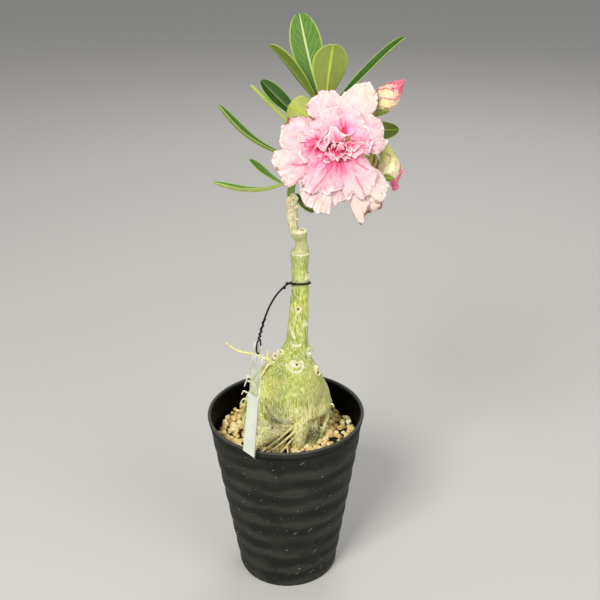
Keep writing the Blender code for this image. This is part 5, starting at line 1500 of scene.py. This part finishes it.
right, up, forward = bloom_frame()
throat = np.array(THROAT) * MM
draw = np.random.default_rng(PETAL_SEED)
WHORLS = ((OUTER_PETALS, OUTER_DETAIL, CREASE_DEPTH), (MIDDLE_PETALS, MIDDLE_DETAIL, CREASE_DEPTH),
          (HEART_PETALS, HEART_DETAIL, HEART_CREASE_DEPTH),
          (crumpled_hearts(draw), CRUMPLED_DETAIL, HEART_CREASE_DEPTH))
petal_grids = []
petal_values = {name: [] for name in (
    "reach", "glow", "margin", "across", "petal", "crease", "withered", "stamen", "lilac")}
for petals, (*detail, paling), crease_depth in WHORLS:
    for margin, root, stand, ruffle, warmth in petals:
        phase = draw.uniform(0, 2 * np.pi)
        flat, lift, along, across, span, fold = petal_sheet(margin, root, stand, ruffle, detail, phase)
        petal_grids.append(throat + flat[..., :1] * right + flat[..., 1:] * up + lift[..., None] * forward)
        reach = np.linalg.norm(flat, axis=-1)
        to_margin = np.clip((1 - along) * reach.max() / MARGIN_WIDTH, 0, 1) + 0 * across
        withered = np.clip(1.5 * bells(flat, WITHERED).max(axis=-1), 0, 1)
        flush = (FLUSHES[:, 3] * bells(flat, FLUSHES)).sum(axis=-1) * (1 - along**3)
        crease = np.exp(-(near_lines(flat, CREASES) / CREASE_WIDTH) ** 2)
        values = {
            "reach": reach / VEIN_LENGTH,
            # The frills' hollows are painted pinker: pleat streaks and painted shade.
            "glow": reach / GLOW_REACH - warmth + paling * along**1.5 + FRILL_PINK_AND_SHADE * fold - flush,
            "margin": to_margin,
            "across": across * span / VEIN_WIDTH + 0 * along,
            "petal": np.full(reach.shape, draw.uniform(0, 90)),
            "crease": crease_depth * crease,
            "withered": withered * np.clip(1.7 - 3.4 * to_margin, 0, 1),
            "stamen": spot_on(flat, *STAMEN_SPOT),
            "lilac": spot_on(flat, *LILAC_SPOT),
        }
        for name, value in values.items():
            petal_values[name].append(value)
bloom = piece("bloom_petals", *joined_grids(petal_grids), petal_skin)
write_parts(bloom.data, petal_values)
thicken(bloom, PETAL_THICKNESS)
fit(bloom, "bloom")

tube_skin = new_finish("flower_tube_skin", {
    "Roughness": 0.55, "Subsurface Weight": 0.15, "Subsurface Scale": 0.003})
tube_colour = mottled(tube_skin, 3 * MM, [
    (0.3, seen(226, 186, 150)), (0.55, seen(236, 214, 170)), (0.8, seen(232, 160, 160))], (1, 3, 1))
feed(tube_skin, "Base Color", mix(tube_skin, value_of(tube_skin, "flush"), tube_colour, seen(190, 24, 66)))
bump(tube_skin, noise(tube_skin, 1.5 * MM, (1, 3, 1)), 0.2 * MM)
funnel_rings = limb((*TUBE[:3], TUBE_END), *TUBE_GRID)
funnel = piece("flower_tube", *closed_tubes([funnel_rings]), tube_skin)
write_value(funnel.data, "flush", np.repeat(np.linspace(0, 1, len(funnel_rings)) ** 4, TUBE_GRID[1]))
fit(funnel, "bloom")


# Buds: three flowers not yet open. Five petals are furled round each other in a twist, so every
# petal's margin winds up to the tip as a thin ragged flap. The base is pale yellow, the tip pink.

BUD_LOBES = 5
BUD_SIDES = 120
BUD_RINGS = 70
BUD_TWIST = 0.15
BUD_WINDING = 1.2
BUD_NECK = 0.78
BUD_NECK_LENGTH = 0.11
BUD_RUMPLE = 0.28 * MM
BUD_RUMPLE_SIZE = 6 * MM
FURL_STEP = 0.1
FURL_STEP_LENGTH = 0.1
FURL_REACH = 0.5
FURL_FROM = 0.28
FURL_TO = 1.04
FURL_ROWS = 60
FURL_COLUMNS = 6
FURL_THICKNESS = 0.35 * MM
# Where a margin leaves its petal, and how ragged it is: two sets of waves as height and length
FURL_EDGE = 0.86
FURL_WAVES = (0.35, 5 * MM)
FURL_NOTCHES = (0.3, 2.2 * MM)
# Where the colours of a bud lie along it: the first at its base, the last past its pink tip
BUD_PLACES = (0.45, 0.75, 1.0, 1.25)
# Each bud: how far its petals' margins lift off, how far its neck draws in, its colours from base
# to tip, and the colour of the margins
BUD_LOOKS = {
    "bud_upper": (0.9, 0.0, ((246, 238, 168), (250, 226, 184), (248, 186, 178), (232, 104, 134)),
                  (240, 146, 160)),
    "bud_front": (0.7, 0.42, ((250, 252, 172), (255, 248, 206), (255, 226, 206), (236, 110, 152)),
                  (240, 184, 176)),
    # The rear bud's dark purple margins are its pink margin colour with painted shade in it, as its furled
    # edge stands in shadow.
    "bud_rear": (0.5, 0.0, ((224, 226, 118), (240, 232, 150), (214, 160, 140), (150, 60, 90)),
                 (150, 66, 90)),
}
# A knob and a small leaf at the tip of the front bud, as rows of x, y, z and radius in millimetres
FRONT_EXTRAS = (
    ((76.4, -16, 325.4, 1.7), (76.3, -16.4, 323.3, 2.7), (75.7, -16.6, 321.9, 1.7)),
    ((77.4, -16.2, 327, 1), (79.2, -16.8, 331, 0.8), (81.2, -17, 335.6, 0.4)),
)
EXTRAS_GRID = (16, 14)


def bud_directions(base, tip):
    """Two directions square to a bud's axis and to each other."""
    axis = unit(np.subtract(tip, base))
    side = square_to((0, 1, 0), axis)
    return side, np.cross(axis, side)


def bud_wall(base, tip, radius, neck, share, turn, rise):
    """A place on a bud at a share of its length and a turn round it: its radius by a profile that
    draws in at the neck, times one plus a rise."""
    side, other = bud_directions(base, tip)
    base, tip = np.array(base) * MM, np.array(tip) * MM
    drawn_in = 1 - neck * np.exp(-((share - BUD_NECK) / BUD_NECK_LENGTH) ** 2)
    reach = radius * MM * bud_radius(share) * drawn_in * (1 + rise)
    return (base + share[..., None] * (tip - base) + (reach * np.cos(turn))[..., None] * side
            + (reach * np.sin(turn))[..., None] * other)


def furl_turn(lobes, share, turns):
    """How far round the bud a furled petal's margin has wound at a share of the bud's length."""
    return 2 * np.pi * (lobes / BUD_LOBES + BUD_WINDING * turns * share + BUD_TWIST * share**2)


def furled_rings(base, tip, radius, turns, neck):
    """Rings of a bud whose radius is a saw-tooth round it, so each step is the edge of a petal."""
    share = (0.5 - 0.5 * np.cos(np.linspace(0, np.pi, BUD_RINGS)))[:, None] + np.zeros((1, BUD_SIDES))
    turn = whole_turn(BUD_SIDES) + 0 * share
    phase = (BUD_LOBES * (turn - furl_turn(0, share, turns)) / (2 * np.pi)) % 1
    saw = phase - np.clip((phase - 1 + FURL_STEP_LENGTH) / FURL_STEP_LENGTH, 0, 1)
    rings = bud_wall(base, tip, radius, neck, share, turn, FURL_STEP * (saw - 0.35))
    soft = uneven(rings.reshape(-1, 3), BUD_RUMPLE, BUD_RUMPLE_SIZE, int(100 * radius)).reshape(share.shape)
    rings += (soft * np.sin(np.pi * share))[..., None] * unit(rings - rings.mean(axis=1, keepdims=True))
    return rings, share, phase


def furl_flaps(base, tip, radius, turns, neck, lift):
    """The free margin of each furled petal: a strip that starts on the bud along the saw-tooth's
    edge, leans over the next petal, and lifts off it more towards the tip, with a ragged edge."""
    share = np.linspace(FURL_FROM, FURL_TO, FURL_ROWS)[:, None]
    away = np.linspace(0, 1, FURL_COLUMNS)[None, :]
    flaps = []
    for lobe in range(BUD_LOBES):
        run = np.stack([share[:, 0] * 30 * MM, np.full(FURL_ROWS, lobe * 7 * MM)], axis=-1)
        ragged = (1 + uneven(run, *FURL_WAVES, lobe) + uneven(run, *FURL_NOTCHES, lobe + 9))[:, None]
        turn = furl_turn(lobe + FURL_EDGE, share, turns) + FURL_REACH * away * ragged
        stand = FURL_STEP * 0.5 + lift / radius * away**1.5 * ragged * np.clip(share * 1.5 - 0.4, 0.1, 1)
        flaps.append(bud_wall(base, tip, radius, neck, share + 0.04 * away * (ragged - 1), turn, stand))
    return flaps, share + 0 * away, away + 0 * share


for name, (base, tip, radius, turns) in BUDS.items():
    lift, neck, colours, margin_colour = BUD_LOOKS[name]
    bud_skin = new_finish(name + "_petals", {
        "Roughness": 0.5, "Subsurface Weight": 0.2, "Subsurface Scale": 0.003})
    bud_streaks = noise(bud_skin, 4 * MM, (0.6, 1, 1.4), 4)
    flush = sum_of(bud_skin, value_of(bud_skin, "share"), product(bud_skin, bud_streaks, 0.5))
    bud_colour = ramp(bud_skin, flush, [
        (place, seen(*colour)) for place, colour in zip(BUD_PLACES, colours)])
    edge_mask = ramp(bud_skin, value_of(bud_skin, "edge"), [
        (0.0, 0.6), (0.06, 0.0), (0.8, 0.0), (0.96, 0.85)])
    feed(bud_skin, "Base Color", mix(bud_skin, edge_mask, bud_colour, seen(*margin_colour)))
    bump(bud_skin, bud_streaks, 0.3 * MM)
    rings, share, phase = furled_rings(base, tip, radius, turns, neck)
    tubes, shares, phases = [rings], [share], [phase]
    for rows in FRONT_EXTRAS if name == "bud_front" else ():
        tubes.append(limb(rows, *EXTRAS_GRID))
        shares.append(np.full(tubes[-1].shape[:2], 1.1))
        phases.append(np.full(tubes[-1].shape[:2], 0.5))
    bud = piece(name + "_furled", *closed_tubes(tubes), bud_skin)
    write_parts(bud.data, {"share": shares, "edge": phases})
    fit(bud, name)
    flaps, share, away = furl_flaps(base, tip, radius, turns, neck, lift)
    margins = piece(name + "_margins", *joined_grids(flaps), bud_skin)
    write_parts(margins.data, {"share": [share] * BUD_LOBES, "edge": [0.7 + 0.3 * away] * BUD_LOBES})
    thicken(margins, FURL_THICKNESS)
    fit(margins, name)


# Tie wire: black plastic-coated wire. A ring goes round the stem, its ends cross in a knot, and the
# twisted tail runs down to a loop through the tag's hole.

WIRE_RADIUS = 0.7 * MM
RING_WIRE_RADIUS = 0.85 * MM
STRAND_RADIUS = 0.6 * MM
WIRE_SIDES = 14
STRAND_SIDES = 12
RING_MIDDLE = (11.9 * MM, 0, 246.2 * MM)
RING_RADIUS = 7.2 * MM
RING_TIP = 2 * MM
RING_OPENING = 0.02
RING_STEPS = 97
TAIL_STEPS = 90
LOOP_STEPS = 60
LOOP_OPENING = 0.15
WIRE_TAIL = ((4.2, -0.5, 246.2), (1, -5, 246.2), (-5, -14, 243.6), (-9.6, -23, 239.8), (-13, -31, 235),
             (-15.2, -37.5, 230.4), (-16.8, -41.8, 226.4))
TWIST_FROM = 0.62
TWIST_TURNS = 4
STRAND_AWAY = 1.05 * WIRE_RADIUS
KNOT_BEADS = ((2.6, -3.4, 247.2, 1.3), (0.4, -5.6, 245.2, 1.3))
LOOP_ABOVE_TAG = 3.5 * MM
LOOP_DEPTH = 1.7 * MM
# The tag's left and right corners at its top and at its foot, and where its hole is along it
TAG_TOP = ((-21.3, -40, 219.9), (-14.6, -50, 219.9))
TAG_FOOT = ((-30.5, -54.4, 140.2), (-22.6, -62.4, 139))
TAG_HOLE = 0.08


def tag_point(along, across, off=0.0):
    """A point of the tag: along from its top to its foot, across from its left to its right."""
    top, foot = np.array(TAG_TOP) * MM, np.array(TAG_FOOT) * MM
    along, across = np.asarray(along, float)[..., None], np.asarray(across, float)[..., None]
    left = top[0] + along * (foot[0] - top[0])
    right = top[1] + along * (foot[1] - top[1])
    front = unit(np.cross(foot.mean(0) - top.mean(0), right - left))
    return left + across * (right - left) + np.asarray(off)[..., None] * front


def wire_line(steps):
    """Middle of the wire's tail, from the stem's ring to the loop above the tag."""
    up = unit(tag_point(0, 0.5) - tag_point(1, 0.5))
    end = (tag_point(0, 0.5) + LOOP_ABOVE_TAG * up) / MM
    return smooth_rows((*WIRE_TAIL, tuple(end)), steps) * MM


def wire_loop(steps):
    """The loop through the tag's hole: a ring in the plane of the tail's end and the tag's front."""
    hole, end = tag_point(TAG_HOLE, 0.5), wire_line(2)[-1]
    front = unit(tag_point(TAG_HOLE, 0.5, 1) - hole)
    turn = np.linspace(0.5 * np.pi + LOOP_OPENING, 2.5 * np.pi - LOOP_OPENING, steps)[:, None]
    return (hole + end) / 2 + np.sin(turn) * (end - hole) / 2 + LOOP_DEPTH * np.cos(turn) * front


coated_wire = new_finish("black_wire_coating", {"Base Color": seen(4, 4, 5), "Specular IOR Level": 0.4})
feed(coated_wire, "Roughness", mottled(coated_wire, 1.5 * MM, [(0.3, 0.22), (0.7, 0.4)]))
bump(coated_wire, noise(coated_wire, 1 * MM), 0.08 * MM)
ring_turn = np.linspace(RING_OPENING, 2 * np.pi - RING_OPENING, RING_STEPS)
ring_line = np.array(RING_MIDDLE) + RING_RADIUS * np.stack(
    [-np.cos(ring_turn), np.sin(ring_turn), -RING_TIP / RING_RADIUS * np.sin(ring_turn)], axis=-1)
tail_line = wire_line(TAIL_STEPS)
twisted = tail_line[int(TAIL_STEPS * TWIST_FROM):]
twist_turn = 2 * np.pi * TWIST_TURNS * np.linspace(0, 1, len(twisted))
away = STRAND_AWAY * np.stack([np.cos(twist_turn), np.sin(twist_turn), 0 * twist_turn], axis=-1)
tag_side = unit(tag_point(TAG_HOLE, 1) - tag_point(TAG_HOLE, 0))
wire_tubes = [
    tube_rings(line, np.full(len(line), radius), sides, reference) for line, radius, sides, reference in (
        (ring_line, RING_WIRE_RADIUS, WIRE_SIDES, (0, 0, 1)),
        (tail_line, WIRE_RADIUS, WIRE_SIDES, None),
        (twisted + away, STRAND_RADIUS, STRAND_SIDES, None),
        (wire_loop(LOOP_STEPS), STRAND_RADIUS, STRAND_SIDES, tag_side))]
wire_tubes += [ball_rings(*bead) for bead in KNOT_BEADS]
wire = piece("tie_wire_coated", *closed_tubes(wire_tubes), coated_wire)
fit(wire, "tie_wire")


# Tag: a strip of clear film, punched for the wire, with a blank white slip in its lower half.
# It hangs free in front of the pot and is a little bowed.

TAG_THICKNESS = 0.3 * MM
TAG_HOLE_RADIUS = 2.1 * MM
TAG_GAP = 0.9 * MM
SLIP_FROM = 0.455
HOLE_BLOCK = 0.16
TAG_STEPS = 12
TAG_ROWS = 40


def tag_strip(start, off=0.0):
    """A grid over the tag from a share of its length to its foot, and across its whole width."""
    along, across = np.meshgrid(np.linspace(start, 1, TAG_ROWS), np.linspace(0, 1, TAG_STEPS + 1),
                                indexing="ij")
    return tag_point(along, across, off)


film = new_finish("clear_film", {"Roughness": 0.16, "Specular IOR Level": 0.6})
film_streaks = noise(film, 3 * MM, (0.5, 0.5, 6), 4)
feed(film, "Base Color", ramp(film, film_streaks, [
    (0.35, seen(176, 182, 166)), (0.5, seen(204, 208, 194)), (0.65, seen(246, 248, 240))]))
# Painted highlight on the film's edges: towards both sides it grows more opaque, and so paler.
film_edge_highlight = ramp(film, value_of(film, "rim"), [(0.0, 0.0), (0.8, 0.0), (0.95, 0.5)])
feed(film, "Alpha", sum_of(film, ramp(film, film_streaks, [(0.4, 0.28), (0.62, 0.5)]), film_edge_highlight))
bump(film, noise(film, 6 * MM, (1, 1, 2)), 0.2 * MM)
up_side = np.linspace(0, 1, TAG_STEPS + 1)[:-1]
none, whole = np.zeros(TAG_STEPS), np.ones(TAG_STEPS)
block_across = np.concatenate([up_side, whole, 1 - up_side, none])
block_along = HOLE_BLOCK * np.concatenate([none, up_side, whole, 1 - up_side])
hole_patch = ring_patch(tag_point(TAG_HOLE, 0.5), TAG_HOLE_RADIUS, tag_point(block_along, block_across))
patch_points, patch_faces = joined_grids([hole_patch], wrap=True)
strip_points, strip_faces = joined_grids([tag_strip(HOLE_BLOCK)])
film_faces = np.vstack([patch_faces, strip_faces + len(patch_points)])[:, ::-1]
tag_film = piece("tag_film_strip", np.vstack([patch_points, strip_points]), film_faces, film, weld=True)
film_middle, film_end = (0.5 * (tag_point(place, 0) + tag_point(place, 1)) for place in (0, 1))
film_along = unit(film_end - film_middle)
film_points = read_points(tag_film.data) - film_middle
film_width = np.linalg.norm(tag_point(0, 1) - tag_point(0, 0)) / 2
off_middle = np.linalg.norm(film_points - (film_points @ film_along)[:, None] * film_along, axis=1)
write_value(tag_film.data, "rim", np.clip(off_middle / film_width, 0, 1))
thicken(tag_film, TAG_THICKNESS)
crease_by_angle(tag_film, 50)
fit(tag_film, "tag_film")

slip_paper = new_finish("blank_slip_paper", {"Roughness": 0.55})
feed(slip_paper, "Base Color", mottled(slip_paper, 12 * MM, [
    (0.3, seen(206, 214, 200)), (0.7, seen(222, 228, 214))]))
bump(slip_paper, noise(slip_paper, 0.6 * MM), 0.03 * MM)
tag_slip = piece("tag_slip_blank", *joined_grids([tag_strip(SLIP_FROM, TAG_GAP)]), slip_paper)
thicken(tag_slip, TAG_THICKNESS)
crease_by_angle(tag_slip, 50)
fit(tag_slip, "tag_slip")
